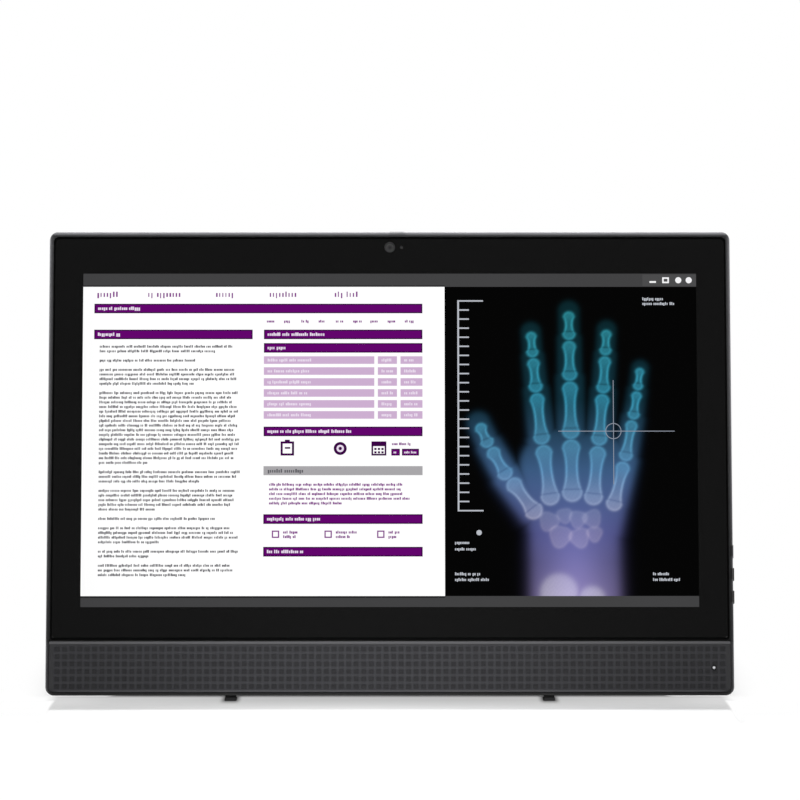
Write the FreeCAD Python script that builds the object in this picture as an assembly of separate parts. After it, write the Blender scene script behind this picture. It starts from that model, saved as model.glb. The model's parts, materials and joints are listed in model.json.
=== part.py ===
import FreeCAD, Part
import math
import os

# An all-in-one desktop computer: a flat display with the computer built into its back, which
# stands on two small front feet and a folding rear leg.
#
# Millimetres. Every piece but the feet's soles is drawn upright, in the chassis axes: X to the
# right as seen from the front, Y from the front face to the back, Z up from the lower edge, and
# X = 0 in the middle. The whole chassis is then leaned back and lifted onto its feet.

# ---- overall sizes -------------------------------------------------------------------------
screen_width = 433.9        # lit area of a 19.5 inch panel
screen_height = 236.3
side_bezel = 24.05          # from the lit area to the outside of the body
top_bezel = 29.95
bottom_bezel = 61.85
lean_deg = 10.0             # how far the chassis leans back
foot_height = 4.2           # how far the front feet lift the lower front edge

body_width = screen_width + 2 * side_bezel
body_height = screen_height + top_bezel + bottom_bezel
half_width = body_width / 2

# ---- clearances ----------------------------------------------------------------------------
seat_gap = 0.3              # between pieces that are seated or screwed together
groove = 0.38               # dark line round the glass and the grille
pin_gap = 0.05              # radial, where something turns or slides in a bore
slide_gap = 0.3             # round a button or a shutter in its hole

# ---- mid frame: the surround that everything sits in -----------------------------------------
rim = 2.1                   # wall of the surround at the sides and the bottom
top_rim = 3.15
corner_radius = 6.0
frame_front = 0.7
frame_back = 16.0
frame_land = 1.5            # upright strip behind the front edge, before the sides draw in
front_rounding = 1.4        # on the outer front edge, less than the land
frame_draft = 1.0           # how far the sides and top draw in by the back of the surround
frame_bottom_draft = 1.5    # the same for the bottom
sill_thick = 1.1            # added inside the bottom wall, behind the ledge
ledge_width = 8.0           # the ledge that the glass is bonded to
ledge_bottom_width = 4.0
ledge_thick = 2.2
crossbar_under_grille = 2.8 # bar behind the seam between the glass and the grille
crossbar_under_glass = 8.0
boss_radius = 3.6
boss_inset = 3.4            # from the inner face of the side wall to a boss's centre
side_boss_z = [115.0, 205.0, 290.0]
bottom_boss_x = [-170.0, -60.0, 60.0, 170.0]

# ---- cover glass and speaker grille ----------------------------------------------------------
glass_front = 1.3
glass_thick = 1.8
glass_top_radius = 3.6
glass_bottom_radius = 2.0
grille_height = 35.8
grille_thick = 3.1
grille_bevel = 2.0
grille_hole = 2.2
grille_pitch = 5.27
grille_rows = 6
grille_hole_columns = 15    # over each speaker

# ---- display panel -----------------------------------------------------------------------------
panel_side_margin = 7.0     # metal frame beyond the lit area
panel_top_margin = 8.3
panel_bottom_margin = 8.3
panel_lip = 0.5
panel_window_gap = 1.1      # bezel opening beyond the lit area
cell_thick = 1.2
backlight_thick = 4.0
tray_thick = 0.8
timing_board_width = 180.0
timing_board_height = 22.0
timing_board_thick = 1.0

# ---- chassis plate -----------------------------------------------------------------------------
plate_front = 13.0
plate_thick = 1.2
plate_side_gap = 1.3
plate_top_drop = 18.25      # below the outside of the top edge
plate_slot_height = 26.0    # stamped slots
plate_slot_width = 36.0
plate_slot_pitch = 52.0

# ---- speakers ----------------------------------------------------------------------------------
speaker_x = 160.0
speaker_box_width = 92.0
speaker_box_back = 18.2
driver_width = 62.0
driver_height = 26.0

# ---- camera and shutter --------------------------------------------------------------------------
camera_drop = 10.9           # camera centre below the outside of the top edge
camera_lens_radius = 2.0
camera_barrel_radius = 3.6
camera_light_x = 8.2
camera_light_radius = 1.0
camera_board_width = 52.0
camera_board_height = 8.0
camera_bay_half = 34.0      # the glass ledge is cut away over this width
shutter_thick = 0.4
shutter_height = 7.4
shutter_travel = 5.0
shutter_x0 = -7.5
shutter_x1 = 12.5
shutter_hole_radius = 2.9
latch_x0 = 0.0
latch_x1 = 10.1
latch_height = 0.35
latch_depth = 3.2
latch_y0 = 2.6
stem_width = 2.6

# ---- side buttons ----------------------------------------------------------------------------------
button_height = 9.2
button_depth = 4.0
button_proud = 1.3
button_travel = 0.4
button_flange = 1.0
button_flange_margin = 1.0
button_y = 9.5
brightness_up_z = 85.2
brightness_down_z = 69.2
power_button_z = 49.5
switch_length = 3.0
button_board_thick = 1.6

# ---- power light ----------------------------------------------------------------------------------
power_light_inset = 14.2    # from the outside of the body
power_light_z = 19.3
power_light_radius = 1.0
light_board_size = 11.0
light_board_thick = 1.0

# ---- rear cover ------------------------------------------------------------------------------------
cover_inset = 1.5           # from the side and the top of the body to the rear cover
cover_bottom_inset = 2.4
cover_wall = 2.5
cover_corner = 4.5
cover_edge = 4.0            # chamfer round the slab
bulge_back = 56.0
bulge_base_side = 36.0      # from the side of the body to the foot of the bulge
bulge_top_side = 61.0       # from the side of the body to the flat back
bulge_base_z0 = 26.0
bulge_top_z0 = 44.0
bulge_base_drop = 42.85     # from the top of the body
bulge_top_drop = 65.85
bulge_corner = 14.0
cover_screw_radius = 1.4
cover_screw_head = 2.6
cover_side_screw_z = 180.0
cover_screw_inset = 16.0
cover_screw_low_z = 44.0
cover_screw_drop = 24.85

# ---- connector recess, power inlet ---------------------------------------------------------------------
recess_z1 = 52.0
recess_setback = 4.7        # from the front of the rear cover to the recess's floor
recess_x0 = -124.0
port_x0 = -115.0
port_x1 = 63.0
port_window_depth = 16.4
bracket_thick = 1.0

# ---- vents -------------------------------------------------------------------------------------
vent_slot = 2.6
vent_pitch = 6.0
intake_columns = 22
intake_z0 = 64.0
intake_height = 22.0
exhaust_columns = 30

# ---- motherboard and what it carries ---------------------------------------------------------------
board_x0 = -122.0
board_x1 = 106.0
board_top_drop = 103.1      # from the top of the body to the top of the board
board_setback = 0.5         # from the recess's floor to the front of the board
board_thick = 1.6
board_edge = 6.0            # fixing holes from the edge
post_radius = 2.6
screw_radius = 1.4
cpu_x = -20.0
cpu_z = 150.0
cpu_size = 37.5
socket_thick = 4.0
cold_plate_size = 48.0
cold_plate_thick = 5.5
pipe_radius = 3.0
pipe_bend = 18.0
pipe_x = 15.0
fan_x = 64.0
fan_size = 80.0
fan_below_top = 14.2        # from the top of the flat back to the fins
fan_rise = 6.9              # from the back of the board to the fan
fan_thick = 12.0
fan_wall = 1.2
rotor_radius = 27.0
rotor_hub_radius = 13.0
rotor_blades = 19
blade_thick = 1.2
shaft_radius = 1.5
fin_count = 19
fin_thick = 0.6
fin_depth = 16.0
memory_x0 = -115.0
memory_width = 67.6
memory_height = 28.0
memory_edge = 6.0           # from the top of the board to the modules
card_thick = 0.9
ssd_x0 = -112.0
ssd_length = 80.0
ssd_height = 22.0
ssd_z0 = 82.0
wifi_length = 30.0
wifi_z0 = 110.0
coin_x = 60.0
coin_z = 96.0
coin_radius = 10.0
coin_thick = 3.2

# ---- hard drive and power supply ---------------------------------------------------------------------
drive_width = 69.85
drive_length = 100.0
drive_thick = 7.0
drive_x1 = -130.5
drive_z0 = 84.0
caddy_wall = 1.0
supply_x0 = 114.0
supply_width = 70.0
supply_above_inlet = 3.8
supply_height = 120.0
supply_depth = 29.0
supply_wall = 1.0
inlet_width = 27.5
inlet_depth = 20.0
inlet_height = 18.0
inlet_mouth_width = 24.0
inlet_mouth_depth = 16.0
inlet_mouth_height = 14.5

# ---- connectors: width, thickness and length of each shell ----------------------------------------------
usb_width = 13.1
usb_thick = 5.7
usb_length = 14.0
shell_wall = 0.5
usb_x = [-92.0, -72.0, -52.0, -32.0]
network_x = -4.0
network_width = 16.0
network_thick = 13.5
hdmi_x = 22.0
hdmi_width = 15.0
display_port_x = 44.0
display_port_width = 16.1
video_thick = 5.6
jack_size = 7.0
jack_radius = 1.8
jack_length = 14.0
line_out_x = -109.0
side_usb_z = [102.0, 122.0]
side_jack_z = 140.0
reader_z0 = 62.0
reader_width = 26.0
reader_thick = 3.4
reader_length = 25.0
side_port_inset = 1.3       # from the front of the rear cover to the side connectors
side_port_room = 0.9        # between the headset jack and the cover's inner face
side_jack_depth = 6.0
side_board_thick = 1.2

# ---- stand -----------------------------------------------------------------------------------------
mount_z = 163.0             # middle of the stand's plate above the lower edge
mount_pitch = 100.0         # between its screws
mount_plate = 124.0
mount_pocket_margin = 2.0
mount_pocket_depth = 4.0
mount_plate_thick = 3.0
mount_screw_radius = 2.0
mount_head_radius = 4.0
mount_head_height = 2.2
bridge_thick = 1.5
bridge_half_height = 57.0
hinge_rise = 49.0           # hinge pin above the middle of the plate
hinge_offset = 8.0          # hinge pin behind the flat back
hinge_pin_radius = 3.0
hub_radius = 6.4
ear_thick = 5.5
ear_inner = 39.5
washer_thick = 1.0
leg_open_deg = 20.0         # between the leg and the back when it is open
leg_bar = 14.0
leg_thick = 5.0
leg_foot_half = 75.0
leg_web = 36.0
foot_bar_radius = 4.0
pad_half_depth = 8.0
pad_height = 6.0
pad_end = 4.0

# ---- front feet ---------------------------------------------------------------------------------------
foot_x = 111.5
foot_width = 7.2
foot_sole_width = 8.2
foot_sole_thick = 1.3
foot_y0 = 3.0
foot_y1 = 14.0
foot_plug_radius = 2.4

# ---- places worked out from the sizes above ------------------------------------------------------------
inner_half = half_width - rim
inner_top = body_height - top_rim
glass_back = glass_front + glass_thick
ledge_back = glass_back + ledge_thick
grille_z0 = rim + groove
grille_z1 = grille_z0 + grille_height
glass_z0 = grille_z1 + groove
glass_z1 = inner_top - groove
crossbar_z0 = grille_z1 - crossbar_under_grille
crossbar_z1 = glass_z0 + crossbar_under_glass
glass_half = inner_half - groove
screen_z0 = bottom_bezel
screen_z1 = bottom_bezel + screen_height
panel_half = screen_width / 2 + panel_side_margin
panel_z0 = screen_z0 - panel_bottom_margin
panel_z1 = screen_z1 + panel_top_margin
panel_front = glass_back + seat_gap
cell_front = panel_front + panel_lip + seat_gap
backlight_front = cell_front + cell_thick + seat_gap
tray_front = backlight_front + backlight_thick + seat_gap
plate_back = plate_front + plate_thick
plate_half = inner_half - plate_side_gap
plate_z0 = crossbar_z0 + 1.5
plate_z1 = body_height - plate_top_drop
camera_z = body_height - camera_drop
cover_front = frame_back + seat_gap
cover_half = half_width - cover_inset
side_port_y = cover_front + side_port_inset
cover_shoulder = side_port_y + side_jack_depth + side_port_room + cover_wall  # back of the flat slab
recess_floor = cover_front + recess_setback
board_front = recess_floor + board_setback
cover_z0 = cover_bottom_inset
cover_z1 = body_height - cover_inset
board_back = board_front + board_thick
board_z0 = recess_z1 + cover_wall + 0.5
board_z1 = body_height - board_top_drop
supply_x1 = supply_x0 + supply_width
supply_mid = (supply_x0 + supply_x1) / 2
supply_front = plate_back + seat_gap
supply_z0 = recess_z1 + inlet_height + supply_above_inlet
recess_x1 = supply_x1 + 4.0
pocket_back = bulge_back - mount_pocket_depth
hinge_y = bulge_back + hinge_offset
hinge_z = mount_z + hinge_rise
hub_half = ear_inner - seat_gap - washer_thick - seat_gap - 0.2
fan_z1 = body_height - bulge_top_drop - fan_below_top
fan_z0 = fan_z1 - fan_size
fan_front = board_back + fan_rise
fin_front = fan_front
fan_back = fan_front + fan_thick
fin_z0 = fan_z1 + seat_gap
pipe_y = fin_front + pipe_radius
pipe_top_z = fin_z0 + fin_depth / 2
cold_plate_front = pipe_y - cold_plate_thick
drive_x0 = drive_x1 - drive_width
memory_z0 = board_z1 - memory_edge - memory_height
bridge_x0 = board_x0 - 5.0
bridge_x1 = board_x1 + 3.5

AXES = {"x": FreeCAD.Vector(1, 0, 0), "y": FreeCAD.Vector(0, 1, 0), "z": FreeCAD.Vector(0, 0, 1)}


# ---- shapes ----------------------------------------------------------------------------------
def block(x0, x1, y0, y1, z0, z1):
    """A box between two corners."""
    return Part.makeBox(x1 - x0, y1 - y0, z1 - z0, FreeCAD.Vector(x0, y0, z0))


def rod(axis, start, length, radius):
    """A cylinder along a named axis from the point start."""
    return Part.makeCylinder(radius, length, FreeCAD.Vector(*start), AXES[axis])


def rounded_outline(x0, x1, z0, z1, y, top_radius, bottom_radius):
    """A closed wire in the plane at depth y: a rectangle with round corners."""
    corners = [(x1, z1, -1, -1, 0, top_radius), (x0, z1, 1, -1, 90, top_radius),
               (x0, z0, 1, 1, 180, bottom_radius), (x1, z0, -1, 1, 270, bottom_radius)]
    arcs = []
    for x, z, inward_x, inward_z, start, radius in corners:
        middle_x = x + inward_x * radius
        middle_z = z + inward_z * radius
        ends = []
        for turn in (0, 45, 90):
            angle = math.radians(start + turn)
            ends.append(FreeCAD.Vector(middle_x + radius * math.cos(angle), y,
                                       middle_z + radius * math.sin(angle)))
        arcs.append(ends)
    edges = []
    for index, ends in enumerate(arcs):
        edges.append(Part.Arc(*ends).toShape())
        following = arcs[(index + 1) % len(arcs)][0]
        edges.append(Part.LineSegment(ends[2], following).toShape())
    return Part.Wire(edges)


def rounded_plate(x0, x1, y0, y1, z0, z1, top_radius, bottom_radius=None):
    """A plate facing along Y, with round corners."""
    if bottom_radius is None:
        bottom_radius = top_radius
    outline = rounded_outline(x0, x1, z0, z1, y0, top_radius, bottom_radius)
    return Part.Face(outline).extrude(FreeCAD.Vector(0, y1 - y0, 0))


def outline_prism(points, axis, start, length):
    """A straight prism: points are in the plane across the axis."""
    corners = []
    for a, b in points:
        corners.append({"x": FreeCAD.Vector(start, a, b), "y": FreeCAD.Vector(a, start, b),
                        "z": FreeCAD.Vector(a, b, start)}[axis])
    face = Part.Face(Part.makePolygon(corners + corners[:1]))
    return face.extrude(AXES[axis] * length)


def join(shapes):
    return shapes[0].multiFuse(shapes[1:]).removeSplitter()


def shell_around(x0, x1, y0, y1, z0, z1, wall, mouth):
    """A rectangular tube, closed at the end away from its mouth ('-x' or '-z')."""
    outside = block(x0, x1, y0, y1, z0, z1)
    if mouth == "-x":
        inside = block(x0 - wall, x1 - wall, y0 + wall, y1 - wall, z0 + wall, z1 - wall)
    else:
        inside = block(x0 + wall, x1 - wall, y0 + wall, y1 - wall, z0 - wall, z1 - wall)
    return outside.cut(inside)


def leaned(shape):
    """Lean an upright shape back about the lower front edge and lift it onto the feet."""
    moved = shape.copy()
    moved.rotate(FreeCAD.Vector(0, 0, 0), AXES["x"], -lean_deg)
    moved.translate(FreeCAD.Vector(0, 0, foot_height))
    return moved


def leaned_point(y, z):
    """The same lean for a point in the plane X = 0."""
    angle = math.radians(lean_deg)
    return (y * math.cos(angle) + z * math.sin(angle),
            z * math.cos(angle) - y * math.sin(angle) + foot_height)


# ---- surround, glass and grille ------------------------------------------------------------------
def button_holes():
    """The three holes in the right wall."""
    holes = []
    for z in (brightness_up_z, brightness_down_z, power_button_z):
        reach = button_height / 2 + slide_gap
        depth = button_depth / 2 + slide_gap
        holes.append(block(inner_half - 1, half_width + 1, button_y - depth, button_y + depth,
                           z - reach, z + reach))
    return holes


def frame_bosses():
    """Screw bosses that carry the chassis plate."""
    bosses = []
    for side in (-1, 1):
        for z in side_boss_z:
            start = (side * (inner_half - boss_inset), ledge_back - 0.5, z)
            bosses.append(rod("y", start, plate_front - ledge_back + 0.5, boss_radius))
    for x in bottom_boss_x:
        start = (x, ledge_back - 0.5, crossbar_z1 - boss_radius)
        bosses.append(rod("y", start, plate_front - ledge_back + 0.5, boss_radius))
    return bosses


def boss_places():
    """Where the chassis screws go, as (x, z)."""
    places = [(side * (inner_half - boss_inset), z) for side in (-1, 1) for z in side_boss_z]
    return places + [(x, crossbar_z1 - boss_radius) for x in bottom_boss_x]


def frame_outside():
    """The surround's outer shape as a solid, drawn in towards the back."""
    land_back = frame_front + frame_land
    land = rounded_plate(-half_width, half_width, frame_front, land_back, 0, body_height,
                         corner_radius)
    wide = rounded_outline(-half_width, half_width, 0, body_height, land_back, corner_radius,
                           corner_radius)
    back_half = half_width - frame_draft
    narrow = rounded_outline(-back_half, back_half, frame_bottom_draft,
                             body_height - frame_draft, frame_back, corner_radius,
                             corner_radius)
    outside = land.fuse(Part.makeLoft([wide, narrow], True, True)).removeSplitter()
    front_edges = [edge for edge in outside.Edges if edge.BoundBox.YMax < frame_front + 0.01]
    return outside.makeFillet(front_rounding, front_edges)


def mid_frame():
    inner_radius = corner_radius - rim
    wall = frame_outside()
    wall = wall.cut(rounded_plate(-inner_half, inner_half, frame_front - 1, frame_back + 1, rim,
                                  inner_top, inner_radius))
    ledge = rounded_plate(-inner_half - 1, inner_half + 1, glass_back, ledge_back, rim - 1,
                          inner_top + 1, inner_radius)
    ledge_inner = inner_half - ledge_width
    ledge = ledge.cut(block(-ledge_inner, ledge_inner, glass_back - 1, ledge_back + 1,
                            rim + ledge_bottom_width, inner_top - ledge_width))
    crossbar = block(-ledge_inner - 1, ledge_inner + 1, glass_back, ledge_back, crossbar_z0,
                     crossbar_z1)
    sill = block(-ledge_inner, ledge_inner, ledge_back - 0.5, frame_back, rim - 0.5,
                 rim + sill_thick)
    frame = join([wall, ledge, crossbar, sill] + frame_bosses())
    bay = block(-camera_bay_half, camera_bay_half, glass_back - 1, ledge_back + 1,
                inner_top - ledge_width - 1, inner_top)
    frame = frame.cut(bay)
    posts = []
    for side in (-1, 1):
        inner = side * (camera_bay_half - 10.0)
        outer = side * (camera_bay_half - 2.0)
        posts.append(block(min(inner, outer), max(inner, outer), camera_board_back() + seat_gap,
                           frame_back, camera_z - camera_board_height / 2, inner_top + 0.5))
    frame = join([frame] + posts)
    stem_x = latch_x1 - 1.0 - stem_width
    slot = block(stem_x - shutter_travel - slide_gap, stem_x + stem_width + slide_gap,
                 shutter_y() - slide_gap, shutter_y() + shutter_thick + slide_gap,
                 inner_top - 1, body_height + 1)
    latch_bed = block(latch_x0 - shutter_travel - slide_gap, latch_x1 + slide_gap,
                      latch_y0 - slide_gap, latch_y0 + latch_depth + slide_gap,
                      body_height - latch_sink(), body_height + 1)
    plugs = []
    for side in (-1, 1):
        plugs.append(rod("z", (side * foot_x, (foot_y0 + foot_y1) / 2, -1),
                         rim + sill_thick + 2, foot_plug_radius + pin_gap))
    screws = []
    for x, z in boss_places():
        screws.append(rod("y", (x, ledge_back, z), plate_front, screw_radius + pin_gap))
    return frame.cut(Part.makeCompound([slot, latch_bed] + plugs + button_holes() + screws))


def cover_glass():
    return rounded_plate(-glass_half, glass_half, glass_front, glass_back, glass_z0, glass_z1,
                         glass_top_radius, glass_bottom_radius)


def grille_hole_places():
    """Centres of the sound holes, in a square grid over each speaker."""
    middle_z = (grille_z0 + grille_z1) / 2
    places = []
    for side in (-1, 1):
        for column in range(grille_hole_columns):
            x = side * speaker_x + (column - (grille_hole_columns - 1) / 2) * grille_pitch
            for row in range(grille_rows):
                places.append((x, middle_z + (row - (grille_rows - 1) / 2) * grille_pitch))
    return places


def speaker_grille():
    bar = rounded_plate(-glass_half, glass_half, 0, grille_thick, grille_z0, grille_z1, 0.6,
                        corner_radius - rim - groove)
    bevel = outline_prism([(-1, grille_z1 - grille_bevel), (0, grille_z1 - grille_bevel),
                           (glass_front, grille_z1), (glass_front, grille_z1 + 1),
                           (-1, grille_z1 + 1)], "x", -half_width, body_width)
    holes = []
    reach = grille_hole / 2
    for x, z in grille_hole_places():
        holes.append(block(x - reach, x + reach, -1, grille_thick + 1, z - reach, z + reach))
    light = rod("y", (power_light_x(), -1, power_light_z), grille_thick + 2,
                power_light_radius + pin_gap)
    return bar.cut(Part.makeCompound([bevel, light] + holes))


def power_light_x():
    return half_width - power_light_inset


def power_light_lens():
    return rod("y", (power_light_x(), 0.1, power_light_z), ledge_back - 0.1, power_light_radius)


def power_light_board():
    reach = light_board_size / 2
    board = block(power_light_x() - reach, power_light_x() + reach, ledge_back + seat_gap,
                  ledge_back + seat_gap + light_board_thick, power_light_z - reach,
                  power_light_z + reach)
    lamp = block(power_light_x() - 1, power_light_x() + 1, ledge_back + 0.05,
                 ledge_back + seat_gap + 0.1, power_light_z - 1, power_light_z + 1)
    return join([board, lamp])


# ---- display panel -------------------------------------------------------------------------------
def lcd_front_frame():
    outside = block(-panel_half, panel_half, panel_front, tray_front - seat_gap, panel_z0,
                    panel_z1)
    skirt = panel_lip
    hollow = block(-panel_half + skirt, panel_half - skirt, panel_front + panel_lip,
                   tray_front + 1, panel_z0 + skirt, panel_z1 - skirt)
    reach = screen_width / 2 + panel_window_gap
    window = block(-reach, reach, panel_front - 1, tray_front, screen_z0 - panel_window_gap,
                   screen_z1 + panel_window_gap)
    return outside.cut(hollow).cut(window)


def panel_layer(front, thick, inset):
    return block(-panel_half + inset, panel_half - inset, front, front + thick,
                 panel_z0 + inset, panel_z1 - inset)


def lcd_cell():
    return panel_layer(cell_front, cell_thick, panel_lip + seat_gap)


def backlight_unit():
    return panel_layer(backlight_front, backlight_thick, panel_lip + seat_gap)


def panel_rear_tray():
    tray = panel_layer(tray_front, tray_thick, 0.0)
    ribs = []
    for z in (panel_z0 + 60.0, panel_z0 + 125.0, panel_z0 + 190.0):
        ribs.append(block(-panel_half + 20, panel_half - 20, tray_front + tray_thick - 0.1,
                          plate_front - seat_gap, z, z + 8.0))
    return join([tray] + ribs)


def timing_board():
    front = tray_front + tray_thick + seat_gap
    board = block(-timing_board_width / 2, timing_board_width / 2, front,
                  front + timing_board_thick, panel_z0 + 3, panel_z0 + 3 + timing_board_height)
    chip = block(-40, -25, front + timing_board_thick - 0.1, plate_front - seat_gap,
                 panel_z0 + 7, panel_z0 + 20)
    return join([board, chip])


# ---- chassis plate ---------------------------------------------------------------------------------
def cable_slot():
    """The slot in the chassis plate that the display cable passes through, as (x0, x1, z0, z1)."""
    return (-72.0, -48.0, panel_z0 + 27.0, panel_z0 + 33.0)


def chassis_plate():
    plate = rounded_plate(-plate_half, plate_half, plate_front, plate_back, plate_z0, plate_z1,
                          3.0)
    slots = []
    columns = int((2 * plate_half - plate_slot_pitch) // plate_slot_pitch)
    for row in range(2):
        z = panel_z1 - 32.0 - row * (plate_slot_height + 8.0)
        for column in range(columns):
            x = (column - (columns - 1) / 2) * plate_slot_pitch
            slots.append(block(x - plate_slot_width / 2, x + plate_slot_width / 2,
                               plate_front - 1, plate_back + 1, z - plate_slot_height / 2,
                               z + plate_slot_height / 2))
    x0, x1, z0, z1 = cable_slot()
    slots.append(block(x0, x1, plate_front - 1, plate_back + 1, z0, z1))
    holes = []
    for x, z in boss_places() + cover_screw_places():
        holes.append(rod("y", (x, plate_front - 1, z), plate_thick + 2, screw_radius + pin_gap))
    return plate.cut(Part.makeCompound(slots + holes))


def pan_screw(x, y, z, reach, head_radius, head_height, radius):
    """A screw driven from the back: its head rests at depth y and it reaches forward."""
    shank = rod("y", (x, y - reach, z), reach, radius)
    head = rod("y", (x, y, z), head_height, head_radius)
    drive = rod("y", (x, y + head_height / 2, z), head_height, head_radius * 0.45)
    return shank.fuse(head).cut(drive).removeSplitter()


def inner_screws():
    """The screws that hold the chassis plate to the surround and the motherboard to its posts."""
    reach = plate_front - ledge_back - 1.0 + plate_thick
    screws = [pan_screw(x, plate_back, z, reach, 2.4, 1.4, screw_radius) for x, z in boss_places()]
    screws += [pan_screw(x, board_back, z, 4.5, 2.4, 1.4, screw_radius)
               for x, z in board_post_places()]
    return Part.makeCompound(screws)


# ---- sound ---------------------------------------------------------------------------------------
def speaker_box(side):
    """A closed box behind the grille, with a hole in its front for the driver."""
    x0 = side * speaker_x - speaker_box_width / 2
    x1 = side * speaker_x + speaker_box_width / 2
    z0 = rim + ledge_bottom_width - 1.0
    z1 = crossbar_z0 + 1.0
    front = ledge_back + seat_gap
    outside = block(x0, x1, front, speaker_box_back, z0, z1)
    inside = block(x0 + 1.5, x1 - 1.5, front + 1.5, speaker_box_back - 1.5, z0 + 1.5, z1 - 1.5)
    mouth = rounded_plate(side * speaker_x - driver_width / 2 + 3,
                          side * speaker_x + driver_width / 2 - 3, front - 1, front + 3,
                          speaker_mid_z() - driver_height / 2 + 3,
                          speaker_mid_z() + driver_height / 2 - 3, 8.0)
    return outside.cut(inside).cut(mouth)


def speaker_boxes():
    return Part.makeCompound([speaker_box(-1), speaker_box(1)])


def speaker_mid_z():
    return (rim + ledge_bottom_width + crossbar_z0) / 2


def speaker_drivers():
    """Two racetrack drivers, one on the front of each box."""
    drivers = []
    front = grille_thick + seat_gap
    back = ledge_back + seat_gap
    for side in (-1, 1):
        x = side * speaker_x
        basket = rounded_plate(x - driver_width / 2, x + driver_width / 2, front, back,
                               speaker_mid_z() - driver_height / 2,
                               speaker_mid_z() + driver_height / 2, 12.0)
        dish = rounded_plate(x - driver_width / 2 + 6, x + driver_width / 2 - 6, front - 1,
                             back - 0.8, speaker_mid_z() - driver_height / 2 + 5,
                             speaker_mid_z() + driver_height / 2 - 5, 7.0)
        magnet = rod("y", (x, back - 0.5, speaker_mid_z()), 7.0, 8.5)
        drivers.append(join([basket.cut(dish), magnet]))
    return Part.makeCompound(drivers)


# ---- camera --------------------------------------------------------------------------------------
def shutter_y():
    return glass_back + slide_gap


def latch_sink():
    """How deep the latch's bed is cut into the top edge."""
    return 1.0


def camera_front():
    return shutter_y() + shutter_thick + slide_gap


def camera_board_back():
    return camera_front() + 2.6


def camera_shutter():
    """A strip behind the glass with two holes, joined by a stem to the latch on the top edge."""
    y0 = shutter_y()
    y1 = y0 + shutter_thick
    strip = block(shutter_x0, shutter_x1, y0, y1, camera_z - shutter_height / 2,
                  camera_z + shutter_height / 2)
    lens_hole = rod("y", (0, y0 - 1, camera_z), 3, shutter_hole_radius - 0.3)
    light_hole = rod("y", (camera_light_x, y0 - 1, camera_z), 3, camera_light_radius + 0.2)
    stem_x = latch_x1 - 1.0 - stem_width
    stem = block(stem_x, stem_x + stem_width, y0, y1, camera_z + shutter_height / 2 - 1,
                 body_height - latch_sink() + slide_gap + 0.2)
    latch = block(latch_x0, latch_x1, latch_y0, latch_y0 + latch_depth,
                  body_height - latch_sink() + slide_gap, body_height + latch_height)
    latch = latch.makeFillet(0.3, [edge for edge in latch.Edges
                                   if edge.BoundBox.ZMin > body_height])
    ridges = []
    for index in range(3):
        x = (latch_x0 + latch_x1) / 2 + (index - 1) * 1.6
        ridges.append(block(x - 0.25, x + 0.25, latch_y0 + 0.5, latch_y0 + latch_depth - 0.5,
                            body_height + latch_height - 0.15, body_height + latch_height + 1))
    strip = strip.cut(Part.makeCompound([lens_hole, light_hole]))
    return join([strip, stem, latch.cut(Part.makeCompound(ridges))])


def camera_module():
    front = camera_front()
    board = block(-camera_board_width / 2, camera_board_width / 2, front + 1.6,
                  camera_board_back(), camera_z - camera_board_height / 2,
                  camera_z + camera_board_height / 2)
    barrel = rod("y", (0, front, camera_z), 2.0, camera_barrel_radius)
    seat = rod("y", (0, front - 1, camera_z), 2.4, camera_lens_radius + pin_gap)
    lamp_tube = rod("y", (camera_light_x, front + 0.4, camera_z), 1.6, 1.6)
    lamp_seat = rod("y", (camera_light_x, front - 1, camera_z), 2.4,
                    camera_light_radius + pin_gap)
    module = join([board, barrel, lamp_tube])
    return module.cut(Part.makeCompound([seat, lamp_seat]))


def camera_lenses():
    """The lens itself and the small lens of the camera's status light."""
    lens = rod("y", (0, camera_front() + 0.2, camera_z), 1.15, camera_lens_radius)
    lamp = rod("y", (camera_light_x, camera_front(), camera_z), 1.35, camera_light_radius)
    return Part.makeCompound([lens, lamp])


# ---- side buttons ------------------------------------------------------------------------------------
def flange_front_x():
    return inner_half - seat_gap


def side_button(z, proud):
    """A key that slides in a hole in the right wall, with a flange inside that keeps it in."""
    reach = button_height / 2
    depth = button_depth / 2
    key = block(flange_front_x() - 0.5, half_width + proud, button_y - depth, button_y + depth,
                z - reach, z + reach)
    rounding = min(1.2, depth * 0.6)
    key = key.makeFillet(rounding, [edge for edge in key.Edges
                                    if abs(edge.tangentAt(edge.FirstParameter).x) > 0.9])
    key = key.makeFillet(0.25, [edge for edge in key.Edges
                                if edge.BoundBox.XMin > half_width + proud - 0.01])
    margin = button_flange_margin
    flange = block(flange_front_x() - button_flange, flange_front_x(), button_y - depth - margin,
                   button_y + depth + margin, z - reach - margin, z + reach + margin)
    return join([key, flange])


def brightness_up_button():
    return side_button(brightness_up_z, button_proud)


def brightness_down_button():
    return side_button(brightness_down_z, button_proud)


def power_button():
    return side_button(power_button_z, 0.0)


def switch_tip_x():
    return flange_front_x() - button_flange - button_travel - seat_gap


def button_board():
    """The board that stands behind the keys, with a small switch for each of them."""
    board_x = switch_tip_x() - switch_length
    board = block(board_x - button_board_thick, board_x, ledge_back + seat_gap,
                  plate_front - seat_gap, power_button_z - 10, brightness_up_z + 10)
    switches = []
    for z in (brightness_up_z, brightness_down_z, power_button_z):
        switches.append(block(board_x - 0.1, switch_tip_x(), button_y - 2.2, button_y + 2.2,
                              z - 2.2, z + 2.2))
    return join([board] + switches)


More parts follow.
